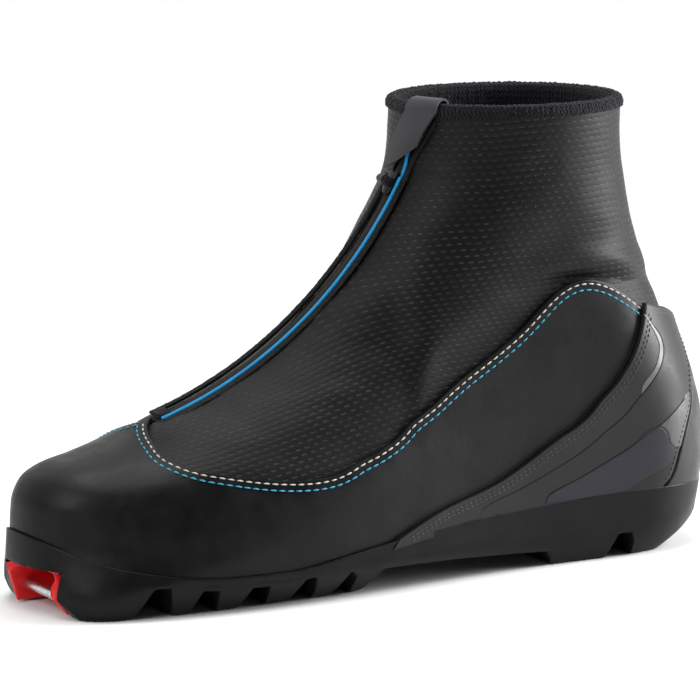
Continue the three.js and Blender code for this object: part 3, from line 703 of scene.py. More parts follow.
def knit_paint():
    p = Paint("binding_knit", (0.005, 0.005, 0.008), 0.9, 0, 0.1)
    u, v = p.uv()
    lean = p.sum("ADD", u, p.sum("MULTIPLY", p.sum("PINGPONG", v, 1.1), 0.9))
    loop = p.sum("SINE", p.sum("MULTIPLY", lean, 2 * math.pi / 1.5))
    wale = p.sum("SINE", p.sum("MULTIPLY", v, 2 * math.pi / 2.2))
    fuzz = p.noise(0.45, 5, 0.7)
    mix = p.span(p.sum("ADD", p.sum("MULTIPLY", loop, 0.22), fuzz), 0.35, 0.9)
    p.colour(p.colours(mix, (0.001, 0.0012, 0.0022), (0.011, 0.012, 0.019)))
    p.bump(loop, 0.22)
    p.bump(wale, 0.1)
    p.bump(fuzz, 0.25)
    p.shader.inputs["Sheen Weight"].default_value = 0.08
    p.shader.inputs["Sheen Roughness"].default_value = 0.6
    return p.mat


softshell = softshell_paint()
bar_steel = steel_paint("bar_steel", (0.62, 0.62, 0.61), 0.28, (6, 0.5, 6))
slider_metal = steel_paint("slider_metal", (0.03, 0.03, 0.032), 0.36, (1, 1, 4))
tape = tape_paint()
blue = blue_paint()
knit = knit_paint()

# ------------------------------------------------------------------ lines of the design
feather_at = curve([
    (-143, 29), (-138, 26.5), (-133, 24), (-127, 21), (-118, 18.3), (-110, 16.8), (-100, 15.2), (-82, 13.6),
    (-60, 13.6), (-40, 16), (-17, 19.2), (22, 23), (53, 24.4), (90, 26), (110, 26), (124, 24.5), (141, 22.5),
])
seat_at = curve([
    (-143, 20.5), (-119, 19.2), (-108, 15.5), (-96, 12), (-82, 10.6), (-60, 10.4), (-40, 12), (-17, 14.5),
    (22, 17.2), (53, 18), (143, 18),
])
VAMP_EDGE = [
    (-88, 0, 62.2), (-94, -7, 58.6), (-96.6, -19, 55), (-95.4, -28, 52.6), (-88, -35.5, 50.6),
    (-75, -42, 49.4), (-63, -45, 47.6), (-49, -47, 46.6), (-39, -47, 46.6), (-30, -47, 48.4),
    (-17, -44, 55.3), (-2, -42, 63.4), (9, -40, 71.4), (25, -39, 80.4), (49, -38, 95.4),
    (59.5, -38, 107), (67.5, -38, 110.6), (77.5, -38, 110.4), (87, -37, 105.3), (97, -35, 98.4),
    (110, -30, 88), (126, -20, 78),
]


def on_form(x, y, z):
    """(ring angle, height) of the form point that lies at (x, z + y) seen square to the shoulder."""
    goal = y + z
    low, high = 20.0, float(min(ridge_at(np.array(float(x))), 172.0))
    for _ in range(50):
        mid = (low + high) / 2
        seen = mid - float(half_width(np.array(float(x)), np.array(mid))) + float(toe_swing(x))
        if seen < goal:
            low = mid
        else:
            high = mid
    return side(x, low)


def ring_x(t, z):
    a = front_at(z)
    return a + (back_at(z) - a) * (1 - np.cos(t)) / 2


def even_rows(grid, rows):
    """Resample every column so its rows are evenly spaced along the surface."""
    dense = np.linspace(0, 1, 4 * rows)
    src = np.linspace(0, 1, grid.shape[0])
    out = np.zeros((rows, grid.shape[1], 2))
    for c in range(grid.shape[1]):
        q = np.stack([np.interp(dense, src, grid[:, c, i]) for i in (0, 1)], 1)
        p = form(q[:, 0], q[:, 1])
        s = np.concatenate([[0], np.cumsum(np.linalg.norm(np.diff(p, axis=0), axis=1))])
        even = np.linspace(0, s[-1], rows)
        out[:, c] = np.stack([np.interp(even, s, q[:, i]) for i in (0, 1)], 1)
    return out


def match(low_marks, high_marks, low, high):
    """Resample the low track so its marks face the marks of the high one; marks are shares of length."""
    share = np.linspace(0, 1, len(high))
    want = np.interp(share, high_marks, low_marks)
    s = np.linspace(0, 1, len(low))
    return np.stack([np.interp(want, s, low[:, i]) for i in (0, 1)], 1)


def smoothed(line, reach, ends=6):
    """The same track with small wobbles taken out; its end points stay."""
    k = np.exp(-0.5 * (np.arange(-3 * reach, 3 * reach + 1) / reach) ** 2)
    k /= k.sum()
    pad = 3 * reach
    first = 2 * line[:1] - line[1:pad + 1][::-1]
    last = 2 * line[-1:] - line[-pad - 1:-1][::-1]
    long = np.concatenate([first, line, last])
    soft = np.stack([np.convolve(long[:, i], k, "valid") for i in (0, 1)], 1)
    w = np.clip(np.minimum(np.arange(len(line)), len(line) - 1 - np.arange(len(line))) / ends, 0, 1)[:, None]
    return line * (1 - w) + soft * w


edge_points = [(0.0, float(np.interp(-88.5, ridge_x, ridge_z)))]
edge_points += [on_form(*p) for p in VAMP_EDGE[1:]]
edge_points.append((math.pi, 76.0))
EDGE_COLS = 260
vamp_edge = smoothed(track(edge_points, EDGE_COLS, 1.0), 8)


# ------------------------------------------------------------------ soft relief of the cloth and leather
def leather_relief(p):
    """Broad, soft creases where the forefoot bends and slight waviness elsewhere."""
    x, y, z = p.T
    low = noise(p / np.array([26.0, 24.0, 14.0]), 3, 2) * 0.5
    bend = np.exp(-((x + 62) / 26) ** 2) * np.exp(-((z - 33) / 15) ** 2)
    crease = np.sin((x + 0.55 * z) / 5.2 + 2.2 * noise(p / 20, 5, 1)) * 0.16
    fade = ease(12, 24, z)
    return (low * 0.55 + bend * crease) * fade


def cloth_relief(p):
    """Soft folds round the ankle and below the lacing zone of the sock."""
    x, y, z = p.T
    wander = noise(p / np.array([40.0, 30.0, 30.0]), 7, 2)
    back = ease(25, 75, x) * (1 - 0.75 * ease(88, 108, x))
    fold = np.exp(-((z - 113 - 5 * wander + 0.05 * (x - 80)) / 5.0) ** 2) * 2.1
    dip = -np.exp(-((z - 105 - 5 * wander + 0.05 * (x - 80)) / 3.6) ** 2) * 1.9
    upper = np.exp(-((z - 134 - 6 * wander) / 8) ** 2) * 0.5
    mid = ease(-60, -20, x) * (1 - ease(30, 75, x))
    lines = np.sin((z - 0.42 * x) / 4.1 + 3.0 * wander) * 0.34 * mid * ease(125, 95, z)
    front = ease(-40, -75, x) * np.sin((x + 1.4 * z) / 6.5 + 2 * wander) * 0.2
    ripple = noise(p / np.array([16.0, 12.0, 7.0]), 9, 2) * 0.5
    shade = ease(170, 158, z)
    return (back * (fold + dip + upper) + lines + front + ripple * 0.8) * shade


# ------------------------------------------------------------------ upper: vamp
def vamp():
    """Leather shell of the forefoot and heel, from inside the sole cup to its stitched edge."""
    half = vamp_edge
    feet = np.linspace(0, math.pi, 600)
    foot_z = feather_at(ring_x(feet, 20)) - 4.5
    foot = track(list(zip(feet, foot_z))[::12], EDGE_COLS)
    foot[0, 0], foot[-1, 0] = 0, math.pi
    foot = match([0, 0.33, 0.42, 0.62, 0.8, 1], [0, 0.3, 0.45, 0.68, 0.85, 1], foot, half)
    grid = even_rows(between(foot, half, 30), 56)
    mirrored = grid[:, ::-1].copy()
    mirrored[..., 0] *= -1
    ring = np.concatenate([mirrored[:, 1:], grid[:, 1:]], 1)
    piece = layer("vamp_skin", ring, VAMP_OUT, 0.3, leather.mat, edge=0.8, closed=True,
                  ends=(False, True, False, False), relief=leather_relief)
    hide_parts("vamp")


vamp()


def stitched_edge(s):
    """The two rows of stitching that follow the vamp's edge on one side."""
    line = vamp_edge[2:-6].copy()
    line[:, 0] *= -s
    for name, inward, thread_mat in (("white", 1.5, white_thread), ("cyan", 3.8, cyan_thread)):
        p, n = inset(line, VAMP_OUT, inward * s)
        lift = leather_relief(p)[:, None]
        where = "lateral" if s < 0 else "medial"
        piece = stitches(f"stitch_{name}_{where}", p + n * lift, n, 3.3, 0.78, 0.3, thread_mat)


for s in (-1, 1):
    stitched_edge(s)


# ------------------------------------------------------------------ upper: softshell
def zip_edge(z, offset):
    """Ring angle where the form crosses the zip plane moved sideways by offset."""
    out = []
    for h, o in zip(np.atleast_1d(z), np.broadcast_to(offset, np.shape(np.atleast_1d(z)))):
        closed = 1 - 0.78 * float(ease(149, 160, h)) * (abs(o) < 5)
        want = zip_y(h) + o * closed * math.hypot(1, ZIP_TILT) - 9.5 * float(ease(148, 176, h))
        t = np.linspace(-0.9, 0.9, 721)
        y = form(t, np.full_like(t, h))[:, 1]
        out.append(float(np.interp(want, y[::-1], t[::-1])))
    return np.array(out)


def cloth_uv(t, z, out):
    """Cloth coordinates in mm: round the leg, and up it or over the instep."""
    x = ring_x(t, z)
    sign = np.sign(np.sin(t) + 1e-9)
    base = 36.0
    steps = 24
    girth = np.zeros_like(z)
    h0 = np.full_like(z, base)
    w0 = half_width(x, h0)
    for k in range(1, steps + 1):
        h1 = base + (z - base) * k / steps
        w1 = half_width(x, h1)
        girth = girth + np.sqrt((h1 - h0) ** 2 + (w1 - w0) ** 2)
        h0, w0 = h1, w1
    around = np.zeros_like(z)
    mid = np.full_like(t, math.pi / 2) * sign
    p0 = form(mid, z)
    for k in range(1, steps + 1):
        p1 = form(mid + (t - mid) * k / steps, z)
        around = around + np.linalg.norm(p1 - p0, axis=-1)
        p0 = p1
    around = around * np.sign(np.abs(t) - math.pi / 2) + 45
    high = ease(75, 118, z)
    u = x * (1 - high) + around * high
    v = (girth + base) * (1 - high) + (z + 6) * high
    slope = 0.2 * ease(60, -40, x)
    return u, v - u * slope + 0.0011 * np.clip(75 - u, 0, 55) ** 2


def sock_half(s):
    """One half of the cloth sock, from the zip's edge to the middle of the heel."""
    cols = 150
    rows = 150
    start = -0.2 if s < 0 else 0.2
    edge_z = np.linspace(60.2, RIM, rows)
    left_t = zip_edge(edge_z, -HALF_GAP if s < 0 else HALF_GAP) * (1 if s < 0 else -1)
    left = np.stack([left_t, edge_z], 1)
    under = vamp_edge.copy()
    under[:, 1] -= 5.5 + 3 * ease(1.25, 1.5, under[:, 0])
    under = under[under[:, 0] >= left_t[0] + 0.02]
    low = track([tuple(left[0])] + [tuple(q) for q in under[6::8]] + [(math.pi, 68.0)], cols)
    low[-1, 0] = math.pi
    high_t = np.linspace(left_t[-1], math.pi, cols)
    high = track([(a, RIM) for a in high_t[::10]] + [(math.pi, RIM)], cols)
    low = match([0, 0.34, 0.55, 1], [0, 0.18, 0.4, 1], low, high)
    right = np.stack([np.full(rows, math.pi), np.linspace(68, RIM, rows)], 1)
    blend = np.linspace(0, 1, rows) ** 1.0
    grid = low[None] * (1 - blend[:, None, None]) + high[None] * blend[:, None, None]
    fix = left - grid[:, 0]
    reach = np.exp(-np.linspace(0, 5.0, cols))[None, :, None]
    grid = grid + fix[:, None] * (reach - math.exp(-5.0))
    where = "lateral" if s < 0 else "medial"
    piece = layer(f"softshell_{where}_cloth", grid, 0.0, -1.5, softshell, edge=0.5,
                  ends=(False, True, True, False), mirror=s > 0, relief=cloth_relief, uv=cloth_uv)
    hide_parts(f"softshell_{where}")


for s in (-1, 1):
    sock_half(s)


# ------------------------------------------------------------------ heel counter and backstay
def side_track(points, n):
    return track([side(np.array(float(x)), np.array(float(z))) for x, z in points], n)


COUNTER_FRONT = [(-13, 20), (4, 27), (36, 36), (63, 50), (82, 64.5), (92, 76), (97, 87), (99.3, 95.6)]
COUNTER_TOP = [(99.3, 95.6), (105, 93.8), (111, 92), (117, 89.2), (125.5, 84.0)]
SEAM = [(105, 25.6), (109.5, 28.6), (114, 38.5), (119, 50), (124, 64), (126, 74), (126.2, 83.2)]


def counter_half(s):
    where = "lateral" if s < 0 else "medial"
    front = smoothed(side_track(COUNTER_FRONT, 170), 6)
    top = side_track(COUNTER_TOP, 46)
    high = np.concatenate([front, top[1:]])
    low = side_track([(-16, 16.5), (10, 19.5), (40, 21.6), (70, 23), (90, 24), (104.5, 24.5)], len(high))
    low = match([0, 0.2, 0.85, 1], [0, 0.1, 0.78, 1], low, high)
    right = side_track([(104.5, 24.5)] + SEAM[1:], 60)
    left = np.linspace(0, 1, 60)[:, None] * (high[0] - low[0]) + low[0]
    right = track([tuple(low[-1])] + [tuple(q) for q in right[6::6]] + [tuple(high[-1])], 60)
    grid = coons(low, high, left, right)
    piece = layer(f"counter_{where}", grid, COUNTER_OUT, COUNTER_IN - 0.1, counter_paint.mat, edge=1.1,
                  ends=(False, True, False, True), mirror=s > 0)
    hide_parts(f"heel_counter_{where}")

    def turned(q):
        q = q.copy()
        q[:, 0] *= -s
        return q

    # Black cord on the vamp along the counter's front edge: partly the raised edge, partly painted shade filling the
    # gap between vamp and counter.
    p, n = inset(turned(front[2:-2]), VAMP_OUT, -0.45 * s)
    cord = circle(0.55, 10)[None] * np.clip(np.minimum(np.arange(len(p)), len(p) - 1 - np.arange(len(p))) / 8,
                                            0.25, 1)[:, None, None]
    sweep(f"counter_edge_cord_and_shade_{where}", p, n, cord, black_paint.mat, "boot")
    for k, (inward, size) in enumerate(((2.1, 0.2), (3.5, 0.2))):
        p, n = inset(turned(front[4:-4]), COUNTER_OUT, inward * s)
        stitches(f"counter_stitch_{where}_{k}", p, n, 2.2, 0.78, size, dark_thread)
    for k, inward in enumerate((1.8, 3.0)):
        p, n = inset(turned(top[3:-2]), COUNTER_OUT, inward * s)
        stitches(f"counter_top_stitch_{where}_{k}", p, n, 2.2, 0.6, 0.16, grey_thread)
    p, n = inset(turned(right[3:-4]), COUNTER_OUT, -1.7 * s)
    stitches(f"seam_stitch_{where}", p, n, 2.1, 0.8, 0.26, dark_thread)

    line_a = [(24, 22.8), (25.5, 26), (28.5, 27.4), (41, 31), (58, 37.2), (75, 45.4), (88, 54.2), (96, 62),
              (103, 69), (106, 73.3), (107, 77.5), (106, 82), (102.5, 86.5), (98.8, 91)]
    line_b = [(54, 25), (55.2, 27.4), (58, 29), (67, 32), (80, 37.2), (92, 42.6), (104.5, 49.6), (112, 54.2), (120.4, 59.6)]
    section = circle(0.3, 8)
    for tag, pts in (("a", line_a), ("b", line_b)):
        q = turned(side_track(pts, 150))
        p = skin(q[:, 0], q[:, 1], np.full(len(q), COUNTER_OUT))
        n = form_normal(q[:, 0], q[:, 1])
        tip = np.clip(np.minimum(np.arange(150), 149 - np.arange(150)) / 10, 0.25, 1)
        sec = section[None] * tip[:, None, None] * np.array([1.0, 0.55])
        sweep(f"counter_line_{tag}_{where}", p, n, sec, black_paint.mat, "boot")

    def patch(name, low_pts, high_pts, paint, cols, rows, lift=0.12):
        a = side_track(low_pts, cols)
        b = side_track(high_pts, cols)
        g = between(a, b, rows)
        one = layer(f"{name}_{where}", g, COUNTER_OUT + lift, COUNTER_OUT - 0.35, paint.mat, edge=0.1,
                    mirror=s > 0)

    patch("counter_panel", [(54.3, 25.2), (65, 25.0), (78, 25.6), (89, 26.2), (96, 29), (103, 32), (110.2, 35.4),
                            (112.8, 39)],
          [(55.3, 27.2), (58.3, 28.8), (67, 31.8), (80, 37.0), (92, 42.4), (104.2, 49), (106.4, 47.8),
           (108, 45.6), (109.2, 42), (112.6, 39.3)], panel_paint, 90, 24)
    patch("counter_facet", [(105, 49.6), (107, 48.2), (108.6, 45.8), (109.8, 42.2), (113, 39.8)],
          [(105.8, 50.3), (112, 54.0), (120.3, 59.2), (118.2, 49.5), (114.6, 40.2)], facet_paint, 60, 16)
    patch("counter_brown", [(89.5, 26.4), (98, 26.9), (105, 27.2), (109.6, 28.6)],
          [(90, 26.7), (96, 29.3), (103, 32.3), (110.6, 35.4)], brown_paint, 40, 12, 0.08)
    patch("reflective_band", [(97.4, 91.8), (99.6, 88.4), (102.8, 83.6), (104.6, 79.4), (103.8, 75.2), (101.6, 71.2),
                              (98.2, 68), (96.3, 65.6), (96, 63.2)],
          [(98.4, 91.2), (102.4, 86.2), (105.6, 82), (106.6, 77.6), (105.6, 73.4), (102.8, 69.4),
           (99.4, 66), (96.8, 63.4), (96.1, 62.7)], band_paint, 80, 8, 0.16)


for s in (-1, 1):
    counter_half(s)


def backstay():
    """Moulded strip over the heel between the two seams."""
    rows, cols = 90, 61
    pts = [(105.6, 22.0), (107, 25), (110, 28.6), (114.5, 38.5), (119.5, 50), (124.5, 64), (126.5, 74), (126.7, 84.4)]
    left = side_track(pts, rows)
    k = np.linspace(0, 1, cols)
    top_z = 84.4 - 6.0 * np.sin(np.pi * k) ** 0.8
    low_z = 22.0 - 4.2 * np.sin(np.pi * k) ** 0.8
    grid = np.zeros((rows, cols, 2))
    for i, f in enumerate(np.linspace(0, 1, rows)):
        z = left[i, 1] + ((top_z - 84.4) * f + (low_z - 22.0) * (1 - f))
        grid[i, :, 0] = left[i, 0] + (2 * math.pi - 2 * left[i, 0]) * k
        grid[i, :, 1] = z
    piece = layer("backstay_strip", grid, COUNTER_OUT, COUNTER_IN - 0.1, backstay_paint.mat, edge=0.9,
                  ends=(False, True, True, True))
    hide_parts("backstay")


backstay()


# ------------------------------------------------------------------ inside of the upper
def band(name, t0, t1, cols, heights, outer, inner, material, replaced, uv=None):
    """Sheet between two ring angles (functions of height) that runs through the given heights."""
    a = np.array([t0(h) for h in heights])
    b = np.array([t1(h) for h in heights])
    k = np.linspace(0, 1, cols)
    grid = np.zeros((len(heights), cols, 2))
    grid[..., 0] = a[:, None] * (1 - k) + b[:, None] * k
    grid[..., 1] = np.array(heights)[:, None]
    piece = layer(name, grid, outer, inner, material, edge=0.4, uv=uv)
    if replaced:
        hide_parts(*replaced)
    return piece


heights = np.linspace(24, 170, 90)
lat = zip_edge(heights, -5.2)
med = zip_edge(heights, 5.2)
band("lining_sleeve", lambda h: float(np.interp(h, heights, lat)), lambda h: 2 * math.pi + float(np.interp(h, heights, med)),
     220, heights, -2.7, -4.7, lining_paint.mat, ["lining"])
heights_t = np.linspace(50, 166, 60)
lat_t = zip_edge(heights_t, -15)
med_t = zip_edge(heights_t, 15)
band("tongue_flap", lambda h: float(np.interp(h, heights_t, med_t)), lambda h: float(np.interp(h, heights_t, lat_t)),
     40, heights_t, -5.0, -6.5, tongue_paint.mat, ["tongue"])


def footbed():
    """Foam sock liner with a shaped rim, lying on the insole board."""
    cols, rows = 160, 26
    ring = np.linspace(0, 2 * math.pi, cols, endpoint=False)
    edge = skin(ring, np.full(cols, 24.0), np.full(cols, -5.3))
    spine = np.stack([np.clip(edge[:, 0], -112, 112), np.interp(edge[:, 0], [-143, -60], [3, 0]), edge[:, 2]], 1)
    verts = []
    for level in (0, 1):
        for r in np.linspace(0, 1, rows):
            q = spine + (edge - spine) * (1 - r) if level == 0 else spine + (edge - spine) * r
            share = 1 - r if level == 0 else r
            dish = 1.6 * share ** 5
            top = seat_at(q[:, 0]) + 5.4 + dish
            low = seat_at(q[:, 0]) + 2.5
            q = q.copy()
            q[:, 2] = low if level else top
            verts.append(q)
    v = np.concatenate(verts)
    faces = grid_faces(2 * rows, cols, 0, True, True)
    uv = np.stack([v[:, 0], v[:, 1]], 1) / 10
    piece = make("footbed_sheet", v, faces, footbed_paint.mat, "boot", uv)
    weld(piece)
    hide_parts("footbed")


def weld(piece, flip=False):
    import bmesh
    bm = bmesh.new()
    bm.from_mesh(piece.data)
    bmesh.ops.remove_doubles(bm, verts=bm.verts, dist=2e-6)
    bmesh.ops.dissolve_degenerate(bm, dist=1e-6, edges=bm.edges)
    bmesh.ops.recalc_face_normals(bm, faces=bm.faces)
    bm.to_mesh(piece.data)
    bm.free()
    piece.data.set_sharp_from_angle(angle=math.radians(40))


footbed()


# ------------------------------------------------------------------ collar binding
def collar_binding():
    """Knitted trim folded over the collar's rim, turned down a little beside the zip."""
    t0 = float(zip_edge(170.0, -HALF_GAP)[0])
    t1 = 2 * math.pi + float(zip_edge(170.0, HALF_GAP)[0])
    cols = 420
    t = np.linspace(t0, t1, cols)
    loop = np.array([
        (0.15, 169.9), (0.55, 169.5), (0.95, 169.9), (1.05, 170.8), (0.95, 171.8), (0.5, 172.9), (-0.3, 173.7), (-1.4, 174.0),
        (-2.6, 173.8), (-3.7, 173.2), (-4.5, 172.2), (-4.9, 170.6), (-4.9, 168.4), (-4.8, 166.0), (-4.4, 165.6),
        (-4.3, 167.5), (-4.2, 170.6), (-2.5, 170.7), (0.1, 170.7),
    ])
    m = len(loop)
    d = np.repeat(loop[None, :, 0], cols, 0)
    z = np.repeat(loop[None, :, 1], cols, 0)
    tt = np.repeat(t[:, None], m, 1)
    p0 = skin(tt, z, d)
    run = np.concatenate([[0], np.cumsum(np.linalg.norm(np.diff(p0[:, 4], axis=0), axis=1))])
    v = np.concatenate([[0], np.cumsum(np.linalg.norm(np.diff(loop, axis=0), axis=1))])
    stitch = np.sin(2 * math.pi * (run[:, None] / 2.1 + 0.35 * np.abs(np.mod(v[None], 2.4) - 1.2)))
    fuzz = noise(p0.reshape(-1, 3) / 1.3, 21, 2).reshape(d.shape)
    out = (np.arange(m) <= 12)[None]
    rough = np.where(out, 0.16 * stitch + 0.4 * fuzz, 0)
    d = d + np.where(np.arange(m)[None] <= 5, rough, np.where(np.arange(m)[None] >= 11, -rough, 0))
    z = z + np.where((np.arange(m)[None] > 4) & (np.arange(m)[None] < 12), rough, 0)
    lateral_drop = 3.5 * np.exp(-run / 9.0)[:, None] * (np.array(loop[:, 1]) < 170.9)[None] * (np.arange(m)[None] < 4)
    p = skin(tt, z - lateral_drop, d)
    verts = p.reshape(-1, 3)
    faces = []
    for i in range(cols - 1):
        for j in range(m):
            a, b = i * m + j, i * m + (j + 1) % m
            faces.append((a, b, b + m, a + m))
    faces.append(tuple(range(m))[::-1])
    faces.append(tuple((cols - 1) * m + j for j in range(m)))
    uv = np.stack([np.repeat(run, m), np.tile(v, cols)], 1) / 10
    piece = make("binding_knit_trim", verts, faces, knit, "boot", uv, 60)
    weld(piece)
    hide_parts("collar_binding")


collar_binding()


# ------------------------------------------------------------------ zip
def zip_strip(name, a0, a1, profile, material, body, steps, wobble=0.0):
    """Bar along the zip circle with a closed (across, out) section."""
    a = np.linspace(a0, a1, steps)
    sec = np.array(profile, float)
    m = len(sec)
    aa = np.repeat(a[:, None], m, 1)
    across = np.repeat(sec[None, :, 0], steps, 0)
    out = np.repeat(sec[None, :, 1], steps, 0)
    if wobble:
        base = zip_point(aa, across, out).reshape(-1, 3)
        out = out + wobble * noise(base / 1.1, 33, 2).reshape(out.shape) * (out > sec[:, 1].min() + 0.05)
    p = zip_point(aa, across, out)
    faces = []
    for i in range(steps - 1):
        for j in range(m):
            k, b = i * m + j, i * m + (j + 1) % m
            faces.append((k, b, b + m, k + m))
    faces.append(tuple(range(m))[::-1])
    faces.append(tuple((steps - 1) * m + j for j in range(m)))
    run = np.abs(a - a0) * ZIP_RADIUS
    uv = np.stack([np.repeat(run, m), np.tile(sec[:, 0], steps)], 1) / 10
    piece = make(name, p.reshape(-1, 3), faces, material, body, uv, 50)
    weld(piece)
    return piece


DEG = math.pi / 180


def zip_parts():
    top = ZIP_HIGH + 2.2 * DEG
    low = ZIP_LOW + 1.2 * DEG
    for s in (-1, 1):
        where = "lateral" if s < 0 else "medial"
        woven_edge = [(0.14, -1.3), (0.14, -0.55), (0.5, -0.32), (1.2, -0.22), (2.1, -0.25), (2.9, -0.42),
                      (3.3, -0.7), (3.3, -1.5)]
        one = zip_strip(f"zip_chain_{where}", low, top, [(q * s, n) for q, n in woven_edge][::s], tape, "boot", 260)
        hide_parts(f"zip_coil_{where}")
        flat = [(2.0, -2.5), (2.0, -1.95), (8.4, -1.95), (8.4, -2.5)]
        under = zip_strip(f"zip_tape_{where}_cloth", low, top, [(q * s, n) for q, n in flat][::s], tape, "boot", 120)
        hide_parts(f"zip_tape_{where}")
        start, end = ZIP_LOW + 1.6 * DEG, ZIP_HIGH - 0.5 * DEG
        if s < 0:
            oval = [(-3.35 - 0.8 + 0.8 * math.cos(b), 0.55 + 0.75 * math.sin(b))
                    for b in np.linspace(0, 2 * math.pi, 16, endpoint=False)]
            pipe = zip_strip("piping_blue", start, end, oval, blue, "boot", 300)
        else:
            edge = [(3.3, 0.1), (3.4, 1.0), (3.9, 1.4), (5.2, 1.45), (6.0, 1.15), (6.3, 0.1)]
            pipe = zip_strip("piping_black", start, end, edge[::1], black_paint.mat, "boot", 300, 0.25)
        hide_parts(f"piping_{where}")
    rough_edge = [(-5.0, 0.0), (-5.05, 0.55), (-6.2, 0.72), (-7.4, 0.6), (-7.9, 0.2), (-7.9, -0.1)]
    strip = zip_strip("zip_edge_trim", ZIP_LOW + 1.6 * DEG, ZIP_HIGH + 1.0 * DEG, rough_edge[::-1], black_paint.mat,
                      "boot", 420, 0.5)
    for name, offset, top_z, size, paint in (("blue_top", -3.7, 161, 0.85, blue), ("black_top", -6.6, 169.6, 1.2, None)):
        heights = np.linspace(zip_point(end, 0, 0)[2] - 1.5, top_z, 60)
        t = zip_edge(heights, offset)
        path = skin(t, heights, np.full(60, 0.35))
        normal = form_normal(t, heights)
        ring = circle(size, 12)[None] * np.array([1.0, 0.75]) * np.clip((60 - np.arange(60)) / 6, 0.3, 1)[:, None, None]
        sweep(f"zip_{name}", path, normal, ring, paint or black_paint.mat, "boot")
    stop = [(-3.2, 0.2), (-3.3, 1.3), (-2.6, 2.0), (0, 2.3), (2.6, 2.0), (3.3, 1.3), (3.2, 0.2)]
    foot = zip_strip("zip_stop_tab", ZIP_LOW + 1.5 * DEG, ZIP_LOW + 3.1 * DEG, stop, black_paint.mat, "boot", 14, 0.3)
    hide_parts("zip_bottom_stop")


zip_parts()


def slider():
    """Cast slider: a domed bridge over the chain, side flanges and two ears with a pin."""
    steps = 28
    a = np.linspace(-1, 1, steps)
    angles = SLIDER_HOME + a * 4.5 / ZIP_RADIUS
    width = 2.9 * (1 - 0.34 * np.clip(-a, 0, 1) ** 2 - 0.12 * np.abs(a) ** 6)
    crown = 2.3 - 0.55 * np.abs(a) ** 3
    m = 16
    verts = []
    for ang, w, c in zip(angles, width, crown):
        sec = [(-w, -1.2), (-w, 0.6), (-w * 0.96, c * 0.7), (-w * 0.8, c * 0.92), (-w * 0.5, c), (0, c * 1.02),
               (w * 0.5, c), (w * 0.8, c * 0.92), (w * 0.96, c * 0.7), (w, 0.6), (w, -1.2), (w * 0.74, -1.2),
               (w * 0.74, -0.1), (0, 0.12), (-w * 0.74, -0.1), (-w * 0.74, -1.2)]
        verts.append(zip_point(np.full(m, ang), np.array([q[0] for q in sec]), np.array([q[1] for q in sec])))
    v = np.concatenate(verts)
    faces = []
    for i in range(steps - 1):
        for j in range(m):
            k, b = i * m + j, i * m + (j + 1) % m
            faces.append((k, b, b + m, k + m))
    faces.append(tuple(range(m))[::-1])
    faces.append(tuple((steps - 1) * m + j for j in range(m)))
    body = make("slider_body", v, faces, slider_metal, "slider", sharp=50)
    weld(body)
    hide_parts("zip_slider")
    for s in (-1, 1):
        loop = [(1.5 * math.cos(b), 4.5 + 1.5 * math.sin(b)) for b in np.linspace(0, math.pi, 9)]
        loop = [(1.9, 2.0), *loop, (-1.9, 2.0)]
        ear = []
        for across in (2.1 * s, 2.8 * s):
            for run, out in loop:
                ear.append(zip_point(SLIDER_HOME + run / ZIP_RADIUS, across, out))
        n = len(loop)
        f = [tuple(range(n)), tuple(range(n, 2 * n))[::-1]]
        f += [(i, (i + 1) % n, n + (i + 1) % n, n + i) for i in range(n)]
        piece = make(f"slider_ear_{'lateral' if s < 0 else 'medial'}", np.array(ear), f, slider_metal, "slider")
        weld(piece)
    pin = np.array([zip_point(SLIDER_HOME, q, 4.6) for q in np.linspace(-2.5, 2.5, 6)])
    rod = sweep("slider_pin", pin, np.repeat([[1.0, 0, 0]], 6, 0), circle(0.7, 14), slider_metal, "slider")


slider()


